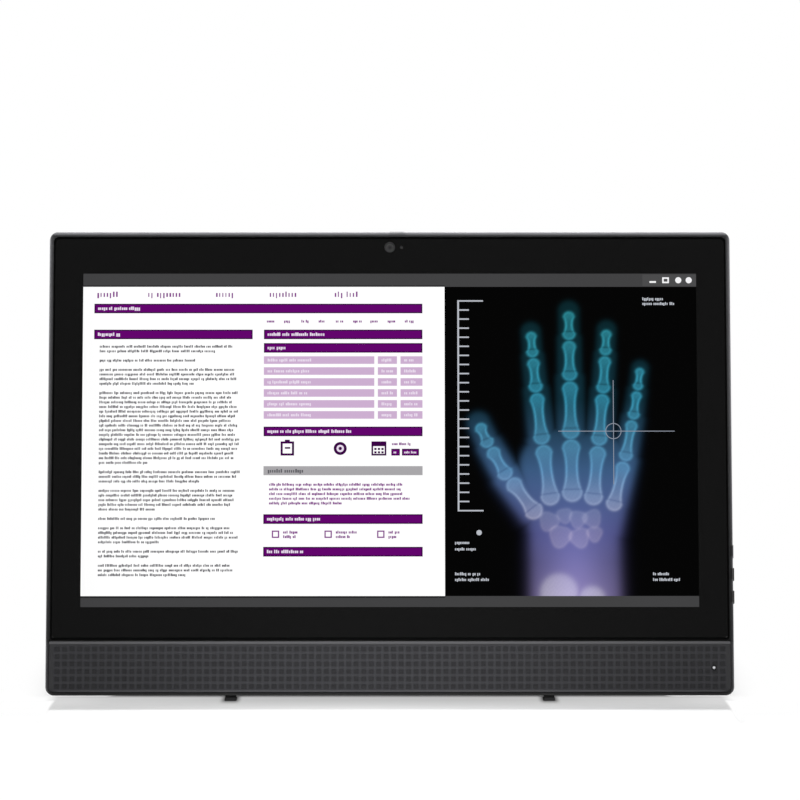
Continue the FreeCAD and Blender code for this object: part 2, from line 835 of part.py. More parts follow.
# ---- rear cover ---------------------------------------------------------------------------------------
def bulge(inset):
    """The raised back as a solid, made smaller all round by inset."""
    base_half = half_width - bulge_base_side - inset
    top_half = half_width - bulge_top_side - inset
    base = rounded_outline(-base_half, base_half, bulge_base_z0 + inset,
                           body_height - bulge_base_drop - inset, cover_shoulder - inset - 2.0,
                           bulge_corner, bulge_corner)
    top = rounded_outline(-top_half, top_half, bulge_top_z0 + inset,
                          body_height - bulge_top_drop - inset, bulge_back - inset,
                          bulge_corner, bulge_corner)
    return Part.makeLoft([base, top], True, True)


def slab(inset):
    """The flat part of the cover as a solid, made smaller all round by inset."""
    x = cover_half - inset
    z0 = cover_z0 + inset
    z1 = cover_z1 - inset
    radius = cover_corner - inset
    edge = cover_edge
    middle = rounded_plate(-x, x, cover_front, cover_shoulder - edge, z0, z1, radius)
    low = rounded_outline(-x, x, z0, z1, cover_shoulder - edge - 0.01, radius, radius)
    high = rounded_outline(-x + edge, x - edge, z0 + edge, z1 - edge, cover_shoulder - inset,
                           radius, radius)
    return middle.fuse(Part.makeLoft([low, high], True, True))


def recess_block(grow):
    """The recess for the connectors, open to the back and through the cover's lower edge."""
    return block(recess_x0 - grow, recess_x1 + grow, recess_floor - grow, bulge_back + 10,
                 -grow, recess_z1 + grow)


def pocket_block(grow):
    """The shallow square pocket that the stand's plate sits in."""
    reach = mount_plate / 2 + mount_pocket_margin + grow
    return rounded_plate(-reach, reach, pocket_back - grow, bulge_back + 10, mount_z - reach,
                         mount_z + reach, 6.0 + grow)


def vent_slots():
    """Intake slots low on the flat back and exhaust slots in the slope at the top."""
    slots = []
    for column in range(intake_columns):
        x = (column - (intake_columns - 1) / 2) * vent_pitch
        slots.append(block(x - vent_slot / 2, x + vent_slot / 2, bulge_back - 8, bulge_back + 5,
                           intake_z0, intake_z0 + intake_height))
    top = body_height - bulge_base_drop
    for column in range(exhaust_columns):
        x = fan_x + (column - (exhaust_columns - 1) / 2) * vent_pitch
        if abs(x) < half_width - bulge_top_side - bulge_corner:
            slots.append(block(x - vent_slot / 2, x + vent_slot / 2, cover_shoulder + 6,
                               bulge_back - 7, top - 40, top + 5))
    return slots


def mount_screw_places():
    reach = mount_pitch / 2
    return [(x, mount_z + z) for x in (-reach, reach) for z in (-reach, reach)]


def cover_screw_places():
    """Screws round the edge of the slab, as (x, z)."""
    side = half_width - cover_screw_inset
    top = body_height - cover_screw_drop
    places = [(x, z) for x in (-side, side) for z in (cover_screw_low_z, cover_side_screw_z, top)]
    return places + [(0.0, top)]


def rear_cover():
    recess = recess_block(0)
    pocket = pocket_block(0)
    outside = slab(0).fuse(bulge(0)).cut(Part.makeCompound([recess, pocket]))
    inside = slab(cover_wall).fuse(bulge(cover_wall))
    mouth = rounded_plate(-cover_half + cover_wall, cover_half - cover_wall, cover_front - 1,
                          cover_front + 1, cover_z0 + cover_wall, cover_z1 - cover_wall,
                          cover_corner - cover_wall)
    inside = inside.fuse(mouth).cut(Part.makeCompound([recess_block(cover_wall),
                                                       pocket_block(cover_wall)]))
    cover = outside.cut(inside)
    cuts = vent_slots()
    cuts.append(block(port_x0, port_x1, recess_floor + 0.5, recess_floor + port_window_depth,
                      recess_z1 - 1, recess_z1 + cover_wall + 1))
    reach = inlet_width / 2 + slide_gap
    cuts.append(block(supply_mid - reach, supply_mid + reach, inlet_y0() - slide_gap,
                      inlet_y0() + inlet_depth + slide_gap, recess_z1 - 1,
                      recess_z1 + cover_wall + 1))
    for x, z in mount_screw_places():
        cuts.append(rod("y", (x, pocket_back - 5, z), 10, mount_screw_radius + slide_gap))
    cuts += side_port_cuts()
    bosses = []
    for x, z in cover_screw_places():
        cuts.append(rod("y", (x, plate_front, z), 30, cover_screw_radius + pin_gap))
        cuts.append(rod("y", (x, cover_shoulder - 1.6, z), 10, cover_screw_head + slide_gap))
        bosses.append(rod("y", (x, cover_front + 0.5, z), cover_shoulder - cover_front - 1.5,
                          cover_screw_head + 1.5))
    return join([cover] + bosses).cut(Part.makeCompound(cuts))


def rear_cover_screws():
    screws = []
    for x, z in cover_screw_places():
        reach = cover_shoulder - 1.6 - plate_front + 0.6
        screws.append(pan_screw(x, cover_shoulder - 1.6, z, reach, cover_screw_head, 1.4,
                                cover_screw_radius))
    return Part.makeCompound(screws)


# ---- motherboard --------------------------------------------------------------------------------------
def board_post_places():
    xs = (board_x0 + board_edge, cpu_x + cold_plate_size / 2 + 14, board_x1 - board_edge)
    zs = (board_z0 + 20.0, board_z1 - board_edge)
    return [(x, z) for x in xs for z in zs]


def motherboard():
    board = block(board_x0, board_x1, board_front, board_back, board_z0, board_z1)
    holes = [rod("y", (x, board_front - 1, z), board_thick + 2, screw_radius + pin_gap)
             for x, z in board_post_places()]
    chipset = block(10, 32, board_back - 0.1, board_back + 2.4, 96, 118)
    coils = [block(cpu_x - 42 + index * 9, cpu_x - 36 + index * 9, board_back - 0.1,
                   board_back + 3.5, cpu_z + 29, cpu_z + 35) for index in range(6)]
    board = board.cut(Part.makeCompound(holes))
    return join([board, chipset, memory_sockets(), coin_cell_holder()] + coils)


def board_standoffs():
    posts = []
    for x, z in board_post_places():
        post = rod("y", (x, plate_back, z), board_front - plate_back, post_radius)
        bore = rod("y", (x, plate_back + 1, z), board_front, screw_radius + pin_gap)
        posts.append(post.cut(bore))
    return Part.makeCompound(posts)


def cpu():
    """The processor in its socket, up to the cold plate."""
    reach = cpu_size / 2
    socket = block(cpu_x - reach - 3, cpu_x + reach + 3, board_back, board_back + 2.2,
                   cpu_z - reach - 3, cpu_z + reach + 3)
    package = block(cpu_x - reach, cpu_x + reach, board_back + 2.0,
                    board_back + socket_thick, cpu_z - reach, cpu_z + reach)
    return join([socket, package])


def pipe_path():
    """Up beside the fan and then across the fins, as one wire."""
    start = FreeCAD.Vector(cpu_x - cold_plate_size / 2 + 3, pipe_y, cpu_z)
    first = FreeCAD.Vector(pipe_x - pipe_bend, pipe_y, cpu_z)
    second = FreeCAD.Vector(pipe_x, pipe_y, cpu_z + pipe_bend)
    third = FreeCAD.Vector(pipe_x, pipe_y, pipe_top_z - pipe_bend)
    fourth = FreeCAD.Vector(pipe_x + pipe_bend, pipe_y, pipe_top_z)
    last = FreeCAD.Vector(fan_x + fan_size / 2 - 3, pipe_y, pipe_top_z)
    diagonal = pipe_bend * (1 - math.cos(math.radians(45)))
    low_middle = FreeCAD.Vector(pipe_x - diagonal, pipe_y, cpu_z + diagonal)
    high_middle = FreeCAD.Vector(pipe_x + diagonal, pipe_y, pipe_top_z - diagonal)
    return Part.Wire([Part.LineSegment(start, first).toShape(),
                      Part.Arc(first, low_middle, second).toShape(),
                      Part.LineSegment(second, third).toShape(),
                      Part.Arc(third, high_middle, fourth).toShape(),
                      Part.LineSegment(fourth, last).toShape()])


def pipe_shape(radius):
    path = pipe_path()
    start = path.Vertexes[0].Point
    profile = Part.Wire(Part.makeCircle(radius, start, AXES["x"]))
    return path.makePipeShell([profile], True, False)


def cpu_cold_plate():
    reach = cold_plate_size / 2
    plate = block(cpu_x - reach, cpu_x + reach, cold_plate_front, pipe_y, cpu_z - reach,
                  cpu_z + reach)
    return plate.cut(pipe_shape(pipe_radius + pin_gap))


def heat_pipe():
    return pipe_shape(pipe_radius)


def heatsink_fins():
    """Upright fins on a common back strip, threaded by the heat pipe."""
    x0 = fan_x - fan_size / 2 + 2
    x1 = fan_x + fan_size / 2 - 2
    strip = block(x0, x1, fan_back - 1.0, fan_back, fin_z0, fin_z0 + fin_depth)
    fins = []
    pitch = (x1 - x0 - fin_thick) / (fin_count - 1)
    for index in range(fin_count):
        x = x0 + index * pitch
        fins.append(block(x, x + fin_thick, fin_front, fan_back - 0.5, fin_z0,
                          fin_z0 + fin_depth))
    return join([strip] + fins).cut(pipe_shape(pipe_radius + pin_gap))


def fan_middle():
    return (fan_x, fan_z0 + fan_size / 2 - 2.0)


def fan_housing():
    x, z = fan_middle()
    half = fan_size / 2
    body = rounded_plate(fan_x - half, fan_x + half, fan_front, fan_back, fan_z0, fan_z1, 0.5, 10)
    cavity = rod("y", (x, fan_front + fan_wall, z), fan_thick, rotor_radius + 3)
    outlet = block(x - rotor_radius + 4, fan_x + half - 2, fan_front + fan_wall, fan_back + 1, z,
                   fan_z1 + 1)
    tube = rod("y", (x, fan_front, z), fan_thick * 0.6, 3.5)
    legs = []
    for side in (-1, 1):
        legs.append(rod("y", (fan_x + side * (half - 6), board_back + seat_gap, fan_z0 + 6),
                        fan_front - board_back - seat_gap + 0.5, 3.0))
    housing = join([body.cut(cavity).cut(outlet), tube] + legs)
    return housing.cut(rod("y", (x, fan_front + 1.0, z), fan_thick, shaft_radius + pin_gap))


def fan_rotor():
    """A cup with a ring of blades, on a shaft that turns in the housing's tube."""
    x, z = fan_middle()
    y0 = fan_front + fan_wall + 0.8
    y1 = fan_back - 1.0
    cup = rod("y", (x, y0, z), y1 - y0, rotor_hub_radius)
    cup = cup.cut(rod("y", (x, y0 - 1, z), y1 - y0, rotor_hub_radius - 1.5))
    shaft = rod("y", (x, fan_front + 1.5, z), y1 - fan_front - 1.6, shaft_radius)
    blades = []
    for index in range(rotor_blades):
        blade = block(rotor_hub_radius - 0.6, rotor_radius, y0, y1, -blade_thick / 2,
                      blade_thick / 2)
        blade.rotate(FreeCAD.Vector(rotor_hub_radius, 0, 0), AXES["y"], 28)
        blade.rotate(FreeCAD.Vector(0, 0, 0), AXES["y"], index * 360.0 / rotor_blades)
        blade.translate(FreeCAD.Vector(x, 0, z))
        blades.append(blade)
    return join([cup, shaft] + blades)


def fan_cover():
    x, z = fan_middle()
    half = fan_size / 2
    plate = rounded_plate(fan_x - half, fan_x + half, fan_back + 0.05, fan_back + 1.05, fan_z0,
                          fan_z1, 0.5, 10)
    return plate.cut(rod("y", (x, fan_back - 1, z), 4, rotor_radius - 6))


def memory_modules():
    """Two modules one above the other, lying parallel to the board."""
    modules = []
    for level in range(2):
        y = board_back + 3.0 + level * 4.0
        board = block(memory_x0, memory_x0 + memory_width, y, y + card_thick, memory_z0,
                      memory_z0 + memory_height)
        chips = [block(memory_x0 + 4 + index * 16, memory_x0 + 15 + index * 16,
                       y + card_thick - 0.05, y + card_thick + 1.0, memory_z0 + 8,
                       memory_z0 + 22) for index in range(4)]
        modules.append(join([board] + chips))
    return Part.makeCompound(modules)


def memory_sockets():
    """The two stacked sockets, which grip the modules' lower edges."""
    back = board_back + 3.0 + 4.0 + card_thick + 1.5
    body = block(memory_x0 - 1.5, memory_x0 + memory_width + 1.5, board_back, back,
                 memory_z0 - 5, memory_z0 + 2)
    grooves = []
    for level in range(2):
        y = board_back + 3.0 + level * 4.0
        grooves.append(block(memory_x0 - 0.3, memory_x0 + memory_width + 0.3, y - 0.05,
                             y + card_thick + 0.05, memory_z0 - 0.05, memory_z0 + 3))
    return body.cut(Part.makeCompound(grooves))


def module_card(x0, length, height, z0):
    """A small plug-in card in its socket, with its chips."""
    y = board_back + 2.2
    card = block(x0, x0 + length, y, y + card_thick, z0, z0 + height)
    chip = block(x0 + 4, x0 + length * 0.45, y + card_thick - 0.05, y + card_thick + 1.1,
                 z0 + 3, z0 + height - 3)
    chip_two = block(x0 + length * 0.55, x0 + length - 5, y + card_thick - 0.05,
                     y + card_thick + 1.1, z0 + 4, z0 + height - 4)
    foot = block(x0 + length - 3.2, x0 + length - 0.2, board_back, y + 0.05, z0 + height / 2 - 2,
                 z0 + height / 2 + 2)
    socket = block(x0 - 3, x0 + 1.5, board_back, y + 0.05, z0, z0 + height)
    return join([card, chip, chip_two, foot, socket])


def ssd_card():
    return module_card(ssd_x0, ssd_length, ssd_height, ssd_z0)


def wifi_card():
    return module_card(ssd_x0, wifi_length, ssd_height, wifi_z0)


def wifi_antennas():
    """Two thin aerials on the back of the glass ledge, one at each side of the camera."""
    strips = []
    for side in (-1, 1):
        x = side * 120.0
        strips.append(block(x - 20, x + 20, ledge_back, ledge_back + 0.6,
                            inner_top - ledge_width + 1, inner_top - 1))
    return Part.makeCompound(strips)


def coin_cell():
    return rod("y", (coin_x, board_back + 1.0, coin_z), coin_thick, coin_radius)


def coin_cell_holder():
    body = rod("y", (coin_x, board_back, coin_z), coin_thick + 0.4, coin_radius + 2.0)
    return body.cut(rod("y", (coin_x, board_back + 1.0 - pin_gap, coin_z), coin_thick + 2,
                        coin_radius + pin_gap))


# ---- hard drive and power supply -------------------------------------------------------------------
def drive_front():
    return plate_back + seat_gap + caddy_wall + 0.1


def hard_drive():
    drive = block(drive_x0, drive_x1, drive_front(), drive_front() + drive_thick, drive_z0,
                  drive_z0 + drive_length)
    plug = block(drive_x1 - 36, drive_x1 - 3, drive_front() + 1, drive_front() + 5, drive_z0 - 1,
                 drive_z0 + 4)
    return drive.cut(plug)


def drive_caddy():
    """A folded tray under the drive, with walls at both sides and a top clip."""
    gap = 0.2
    y0 = plate_back + seat_gap
    y1 = drive_front() + drive_thick - 1.0
    x0 = drive_x0 - gap - caddy_wall
    x1 = drive_x1 + gap + caddy_wall
    outside = block(x0, x1, y0, y1, drive_z0 + 5, drive_z0 + drive_length + gap + caddy_wall)
    inside = block(drive_x0 - gap, drive_x1 + gap, y0 + caddy_wall, y1 + 1, drive_z0 + 4,
                   drive_z0 + drive_length + gap)
    return outside.cut(inside)


def drive_cable():
    """A flat cable from the drive's lower end to the board."""
    y = drive_front() + 2.0
    x0 = drive_x1 - 20.0
    x1 = drive_x1 - 5.0
    plug = block(x0, x1, y - 0.8, y + 2.8, drive_z0 - 6, drive_z0 - 1.2)
    low = drive_z0 - 24.0
    high = drive_z0 - 14.0
    down = block(x0 + 2, x1 - 2, y, y + 0.8, low, drive_z0 - 5.5)
    across = block(x0 + 2, board_x0 - 1.2, y, y + 0.8, low, high)
    lift = block(board_x0 - 4, board_x0 - 1.2, y, board_back + 2.2, low, high)
    over = block(board_x0 - 4, board_x0 + 8, board_back + 0.4, board_back + 2.2, low, high)
    return join([plug, down, across, lift, over])


def power_supply():
    body = block(supply_x0, supply_x1, supply_front, supply_front + supply_depth, supply_z0,
                 supply_z0 + supply_height)
    inside = block(supply_x0 + supply_wall, supply_x1 - supply_wall, supply_front + supply_wall,
                   supply_front + supply_depth - supply_wall, supply_z0 + supply_wall,
                   supply_z0 + supply_height - supply_wall)
    slots = []
    for index in range(8):
        z = supply_z0 + 16 + index * 12
        slots.append(block(supply_x0 + 12, supply_x1 - 12, supply_front + supply_depth - 2,
                           supply_front + supply_depth + 1, z, z + 4))
    board = block(supply_x0 + 2, supply_x1 - 2, supply_front + 4, supply_front + 5.6,
                  supply_z0 + 0.5, supply_z0 + supply_height - 0.5)
    transformer = block(supply_x0 + 20, supply_x0 + 48, supply_front + 5.5, supply_front + 24,
                        supply_z0 + 45, supply_z0 + 75)
    return join([body.cut(inside).cut(Part.makeCompound(slots)), board, transformer])


def inlet_y0():
    return recess_floor + 2.0


def power_inlet():
    """A three-pin inlet that faces down into the recess, wired to the supply above it."""
    x0 = supply_mid - inlet_width / 2
    x1 = supply_mid + inlet_width / 2
    y0 = inlet_y0()
    z0 = recess_z1 + 0.2
    z1 = z0 + inlet_height
    body = block(x0, x1, y0, y0 + inlet_depth, z0, z1)
    neck = block(supply_mid - 8, supply_mid + 8, y0 + 4, y0 + 14, z1 - 0.5, supply_z0)
    middle_y = y0 + inlet_depth / 2
    mouth = block(supply_mid - inlet_mouth_width / 2, supply_mid + inlet_mouth_width / 2,
                  middle_y - inlet_mouth_depth / 2, middle_y + inlet_mouth_depth / 2, z0 - 1,
                  z0 + inlet_mouth_height)
    pins = []
    for x, y in ((0.0, 4.0), (-7.0, -2.0), (7.0, -2.0)):
        pins.append(block(supply_mid + x - 1.0, supply_mid + x + 1.0, middle_y + y - 2.0,
                          middle_y + y + 2.0, z0 + 1.5, z0 + inlet_mouth_height + 0.5))
    flange = block(x0 - 3, x1 + 3, y0 - 1, y0 + inlet_depth + 1,
                   recess_z1 + cover_wall + seat_gap, recess_z1 + cover_wall + seat_gap + 1.5)
    return join([body.fuse(flange).fuse(neck).cut(mouth)] + pins)


# ---- connectors -----------------------------------------------------------------------------------
def port_z0():
    """Mouths of the rear connectors."""
    return recess_z1 + 0.4


def down_port(x, width, thick, length, tongue):
    """A metal shell lying on the board with its mouth down, and the plastic tongue in it."""
    y0 = board_back
    z0 = port_z0()
    shell = shell_around(x - width / 2, x + width / 2, y0, y0 + thick, z0, z0 + length,
                         shell_wall, "-z")
    middle = y0 + thick / 2
    tip = block(x - width / 2 + 1.6, x + width / 2 - 1.6, middle - tongue, middle + tongue,
                z0 + 1.0, z0 + length - shell_wall + 0.1)
    return shell.fuse(tip).removeSplitter()


def rear_usb_ports():
    return Part.makeCompound([down_port(x, usb_width, usb_thick, usb_length, 0.9)
                              for x in usb_x])


def network_port():
    z0 = port_z0()
    shell = shell_around(network_x - network_width / 2, network_x + network_width / 2,
                         board_back, board_back + network_thick, z0, z0 + 21.0, 1.5, "-z")
    latch = block(network_x - 3, network_x + 3, board_back + network_thick - 1.6,
                  board_back + network_thick + 1, z0 - 1, z0 + 6)
    return shell.cut(latch)


def video_ports():
    """The two connectors for a second display."""
    return Part.makeCompound([down_port(hdmi_x, hdmi_width, video_thick, 11.5, 0.6),
                              down_port(display_port_x, display_port_width, video_thick, 12.0,
                                        0.6)])


def line_out_jack():
    z0 = port_z0()
    body = block(line_out_x - jack_size / 2, line_out_x + jack_size / 2, board_back,
                 board_back + jack_size, z0, z0 + jack_length)
    return body.cut(rod("z", (line_out_x, board_back + jack_size / 2, z0 - 1),
                        jack_length + 2, jack_radius))


def rear_port_bracket():
    """The steel strip in the recess's ceiling, cut out round each connector."""
    z0 = recess_z1 + 0.6
    strip = block(port_x0 + 0.3, port_x1 - 0.3, recess_floor + 0.8,
                  recess_floor + port_window_depth - 0.3, z0, z0 + bracket_thick)
    rows = [(x, usb_width, usb_thick) for x in usb_x]
    rows += [(network_x, network_width, network_thick), (hdmi_x, hdmi_width, video_thick),
             (display_port_x, display_port_width, video_thick),
             (line_out_x, jack_size, jack_size)]
    cuts = []
    for x, width, thick in rows:
        cuts.append(block(x - width / 2 - 0.2, x + width / 2 + 0.2, board_back - 0.2,
                          board_back + thick + 0.2, z0 - 1, z0 + bracket_thick + 1))
    cuts.append(block(port_x1 - 7.0, port_x1 - 4.0, recess_floor + 4.0, recess_floor + 11.0,
                      z0 - 1, z0 + bracket_thick + 1))
    return strip.cut(Part.makeCompound(cuts))


def side_mouth_x():
    """Mouths of the side connectors, just inside the cover's left wall."""
    return -cover_half + 0.3


def side_port_board():
    """The board under the side connectors, on two posts that stand on the chassis plate."""
    x0 = side_mouth_x() + cover_wall + 0.5
    x1 = x0 + 26.0
    z0 = reader_z0 - 3.0
    z1 = side_jack_z + 8.0
    back = side_port_y - seat_gap
    front = back - side_board_thick
    posts = [rod("y", (x1 - 4.0, plate_back, z), front - plate_back + 0.1, post_radius)
             for z in (z0 + 4.0, z1 - 4.0)]
    return join([block(x0, x1, front, back, z0, z1)] + posts)


def side_usb_ports():
    ports = []
    x0 = side_mouth_x()
    for z in side_usb_z:
        shell = shell_around(x0, x0 + usb_length, side_port_y, side_port_y + usb_thick,
                             z - usb_width / 2, z + usb_width / 2, shell_wall, "-x")
        middle = side_port_y + usb_thick / 2
        tip = block(x0 + 1.0, x0 + usb_length - shell_wall + 0.1, middle - 0.9, middle + 0.9,
                    z - usb_width / 2 + 1.6, z + usb_width / 2 - 1.6)
        ports.append(shell.fuse(tip).removeSplitter())
    return Part.makeCompound(ports)


def headset_jack():
    x0 = side_mouth_x()
    body = block(x0, x0 + jack_length, side_port_y, side_port_y + side_jack_depth,
                 side_jack_z - jack_size / 2, side_jack_z + jack_size / 2)
    middle = side_port_y + side_jack_depth / 2
    return body.cut(rod("x", (x0 - 1, middle, side_jack_z), jack_length + 2, jack_radius))


def card_reader():
    x0 = side_mouth_x()
    return shell_around(x0, x0 + reader_length, side_port_y, side_port_y + reader_thick,
                        reader_z0, reader_z0 + reader_width, shell_wall, "-x")


def side_port_cuts():
    """Holes in the cover's left wall for the side connectors."""
    wall_x0 = -half_width - 1
    wall_x1 = -cover_half + cover_wall + cover_edge
    gap = 0.2
    cuts = [block(wall_x0, wall_x1, side_port_y - gap, side_port_y + usb_thick + gap,
                  z - usb_width / 2 - gap, z + usb_width / 2 + gap) for z in side_usb_z]
    cuts.append(block(wall_x0, wall_x1, side_port_y - gap, side_port_y + reader_thick + gap,
                      reader_z0 - gap, reader_z0 + reader_width + gap))
    cuts.append(block(wall_x0, wall_x1, side_port_y - gap, side_port_y + side_jack_depth + gap,
                      side_jack_z - jack_size / 2 - gap, side_jack_z + jack_size / 2 + gap))
    return cuts


def flat_cables():
    return Part.makeCompound([display_cable(), drive_cable()])


def display_cable():
    """A flat cable from the timing board, through the chassis plate, to the motherboard."""
    x0, x1, z0, z1 = cable_slot()
    front = tray_front + tray_thick + seat_gap + timing_board_thick
    thick = 0.4
    middle = (z0 + z1) / 2
    points = [(front, z0 - 12), (front + thick, z0 - 12), (front + thick, middle - 1),
              (board_front - 1.5, middle - 1), (board_front - 1.5, middle + 10),
              (board_front, middle + 10), (board_front, middle + 12),
              (board_front - 2.4, middle + 12), (board_front - 2.4, middle - 0.4),
              (front, middle - 0.4)]
    return outline_prism(points, "x", x0 + 2, x1 - x0 - 4)


# ---- stand --------------------------------------------------------------------------------------
def stand_mount_bridge():
    """A steel bridge over the motherboard that carries the stand's screws to the chassis plate."""
    back = pocket_back - cover_wall - seat_gap
    front = back - bridge_thick
    z0 = mount_z - bridge_half_height
    z1 = mount_z + bridge_half_height
    roof = block(bridge_x0, bridge_x1, front, back, z0, z1)
    foot = 6.0
    walls = []
    for x in (bridge_x0, bridge_x1 - bridge_thick):
        walls.append(block(x, x + bridge_thick, plate_back, front + 0.5, z0, z1))
    windows = [block(bridge_x0 - 1, bridge_x1 + 1, plate_back + foot, front - foot,
                     z0 + 14 + index * 46, z0 + 48 + index * 46) for index in range(2)]
    bosses = []
    holes = []
    for x, z in mount_screw_places():
        bosses.append(rod("y", (x, front - 2.5, z), 3.0, 4.5))
        holes.append(rod("y", (x, front - 4, z), 10, mount_screw_radius + pin_gap))
    return join([roof] + walls + bosses).cut(Part.makeCompound(windows + holes))


def stand_bracket():
    """The plate in the pocket, with two ears that hold the hinge pin."""
    reach = mount_plate / 2
    y1 = pocket_back + mount_plate_thick
    plate = rounded_plate(-reach, reach, pocket_back, y1, mount_z - reach, mount_z + reach, 5.0)
    ears = []
    for side in (-1, 1):
        x0 = min(side * ear_inner, side * (ear_inner + ear_thick))
        post = block(x0, x0 + ear_thick, y1 - 1, hinge_y, hinge_z - 8, hinge_z + 8)
        ears += [post, rod("x", (x0, hinge_y, hinge_z), ear_thick, 8.0)]
    holes = [rod("x", (-reach - 5, hinge_y, hinge_z), mount_plate + 10, hinge_pin_radius + 0.02)]
    for x, z in mount_screw_places():
        holes.append(rod("y", (x, pocket_back - 1, z), 10, mount_screw_radius + slide_gap))
    return join([plate] + ears).cut(Part.makeCompound(holes))


def stand_screws():
    y = pocket_back + mount_plate_thick
    screws = [pan_screw(x, y, z, 9.0, mount_head_radius, mount_head_height, mount_screw_radius)
              for x, z in mount_screw_places()]
    return Part.makeCompound(screws)


def hinge_pin():
    end = ear_inner + ear_thick
    pin = rod("x", (-end - 0.2, hinge_y, hinge_z), 2 * end + 0.4, hinge_pin_radius)
    caps = [rod("x", (-end - 1.6, hinge_y, hinge_z), 1.5, 4.6),
            rod("x", (end + 0.1, hinge_y, hinge_z), 1.5, 4.6)]
    return join([pin] + caps)


def hinge_washers():
    washers = []
    for side in (-1, 1):
        outer = side * (ear_inner - 0.05)
        x0 = min(outer, outer - side * washer_thick)
        ring = rod("x", (x0, hinge_y, hinge_z), washer_thick, hub_radius)
        washers.append(ring.cut(rod("x", (x0 - 1, hinge_y, hinge_z), washer_thick + 2,
                                    hinge_pin_radius + 0.02)))
    return Part.makeCompound(washers)


def leg_length():
    """From the hinge pin to the foot bar, so that the pad just reaches the ground."""
    _, pin_height = leaned_point(hinge_y, hinge_z)
    return (pin_height - pad_height) / math.cos(math.radians(leg_open_deg - lean_deg))


def opened(shape):
    """Turn a leg piece, drawn hanging straight down from the pin, to its open place."""
    moved = shape.copy()
    moved.rotate(FreeCAD.Vector(0, hinge_y, hinge_z), AXES["x"], leg_open_deg)
    return moved


def stand_leg():
    """A plate leg: a hub at the top, two splayed bars and a foot bar round a window."""
    foot_z = hinge_z - leg_length()
    shoulder_z = hinge_z - hub_radius - 4.0
    slope = (leg_foot_half - hub_half) / (shoulder_z - foot_z)
    y0 = hinge_y - leg_thick / 2

    def edge_x(z, inset):
        return hub_half + (shoulder_z - z) * slope - inset

    outer = [(-hub_half, hinge_z), (hub_half, hinge_z), (hub_half, shoulder_z),
             (leg_foot_half, foot_z), (-leg_foot_half, foot_z), (-hub_half, shoulder_z)]
    window_top = hinge_z - leg_web
    window_foot = foot_z + foot_bar_radius + 3.0
    inner = [(-edge_x(window_top, leg_bar), window_top), (edge_x(window_top, leg_bar), window_top),
             (edge_x(window_foot, leg_bar), window_foot),
             (-edge_x(window_foot, leg_bar), window_foot)]
    plate = outline_prism(outer, "y", y0, leg_thick)
    window = outline_prism(inner, "y", y0 - 1, leg_thick + 2)
    hub = rod("x", (-hub_half, hinge_y, hinge_z), 2 * hub_half, hub_radius)
    bar = rod("x", (-leg_foot_half, hinge_y, foot_z), 2 * leg_foot_half, foot_bar_radius)
    bore = rod("x", (-hub_half - 1, hinge_y, hinge_z), 2 * hub_half + 2,
               hinge_pin_radius + pin_gap)
    return opened(join([plate.cut(window), hub, bar]).cut(bore))


def leg_foot_middle():
    """Centre of the foot bar in the finished position, in the plane X = 0."""
    angle = math.radians(leg_open_deg - lean_deg)
    y, z = leaned_point(hinge_y, hinge_z)
    return y + leg_length() * math.sin(angle), z - leg_length() * math.cos(angle)


def leg_foot_pad():
    """A rubber shoe with a level sole, drawn in the finished position."""
    y, z = leg_foot_middle()
    reach = leg_foot_half - pad_end
    shoe = block(-reach, reach, y - pad_half_depth, y + pad_half_depth, 0, pad_height)
    shoe = shoe.makeFillet(1.5, [edge for edge in shoe.Edges
                                 if edge.BoundBox.ZMin > pad_height - 0.01])
    groove_cut = rod("x", (-leg_foot_half - 5, y, z), 2 * leg_foot_half + 10,
                     foot_bar_radius + pin_gap)
    return shoe.cut(groove_cut).cut(leaned(stand_leg()))


def front_feet():
    """Two rubber feet: a plug in the frame, a leg and a wider sole that is level on the ground."""
    feet = []
    depth = foot_y1 - foot_y0
    for side in (-1, 1):
        x = side * foot_x
        stalk = block(x - foot_width / 2, x + foot_width / 2, foot_y0, foot_y1,
                      -foot_height - 4, frame_bottom_draft + 0.5).cut(frame_outside())
        plug = rod("z", (x, (foot_y0 + foot_y1) / 2, -1), rim + sill_thick + 1,
                   foot_plug_radius)
        upright = leaned(stalk.fuse(plug).removeSplitter())
        ground = block(x - body_width, x + body_width, -50, 50, 0, 50)
        front_y, _ = leaned_point(foot_y0, 0)
        sole = block(x - foot_sole_width / 2, x + foot_sole_width / 2, front_y,
                     front_y + depth * 0.95, 0, foot_sole_thick)
        body = leaned(block(x - body_width, x + body_width, -50, 50, 0, 20))
        sole = sole.cut(body)
        feet.append(upright.common(ground).fuse(sole).removeSplitter())
    return Part.makeCompound(feet)


# ---- assembly -----------------------------------------------------------------------------------
UPRIGHT = [mid_frame, cover_glass, speaker_grille, power_light_lens, power_light_board,
           lcd_front_frame, lcd_cell, backlight_unit, panel_rear_tray, timing_board,
           flat_cables, chassis_plate, inner_screws, speaker_boxes, speaker_drivers,
           camera_shutter, camera_module, camera_lenses, brightness_up_button,
           brightness_down_button, power_button, button_board, rear_cover, rear_cover_screws,
           motherboard, board_standoffs, cpu, cpu_cold_plate, heat_pipe, heatsink_fins,
           fan_housing, fan_rotor, fan_cover, memory_modules, ssd_card, wifi_card,
           wifi_antennas, coin_cell, hard_drive, drive_caddy, power_supply, power_inlet,
           rear_port_bracket, rear_usb_ports, network_port, video_ports, line_out_jack,
           side_port_board, side_usb_ports, headset_jack, card_reader, stand_mount_bridge,
           stand_bracket, stand_screws, hinge_pin, hinge_washers, stand_leg]
ON_THE_GROUND = [leg_foot_pad, front_feet]


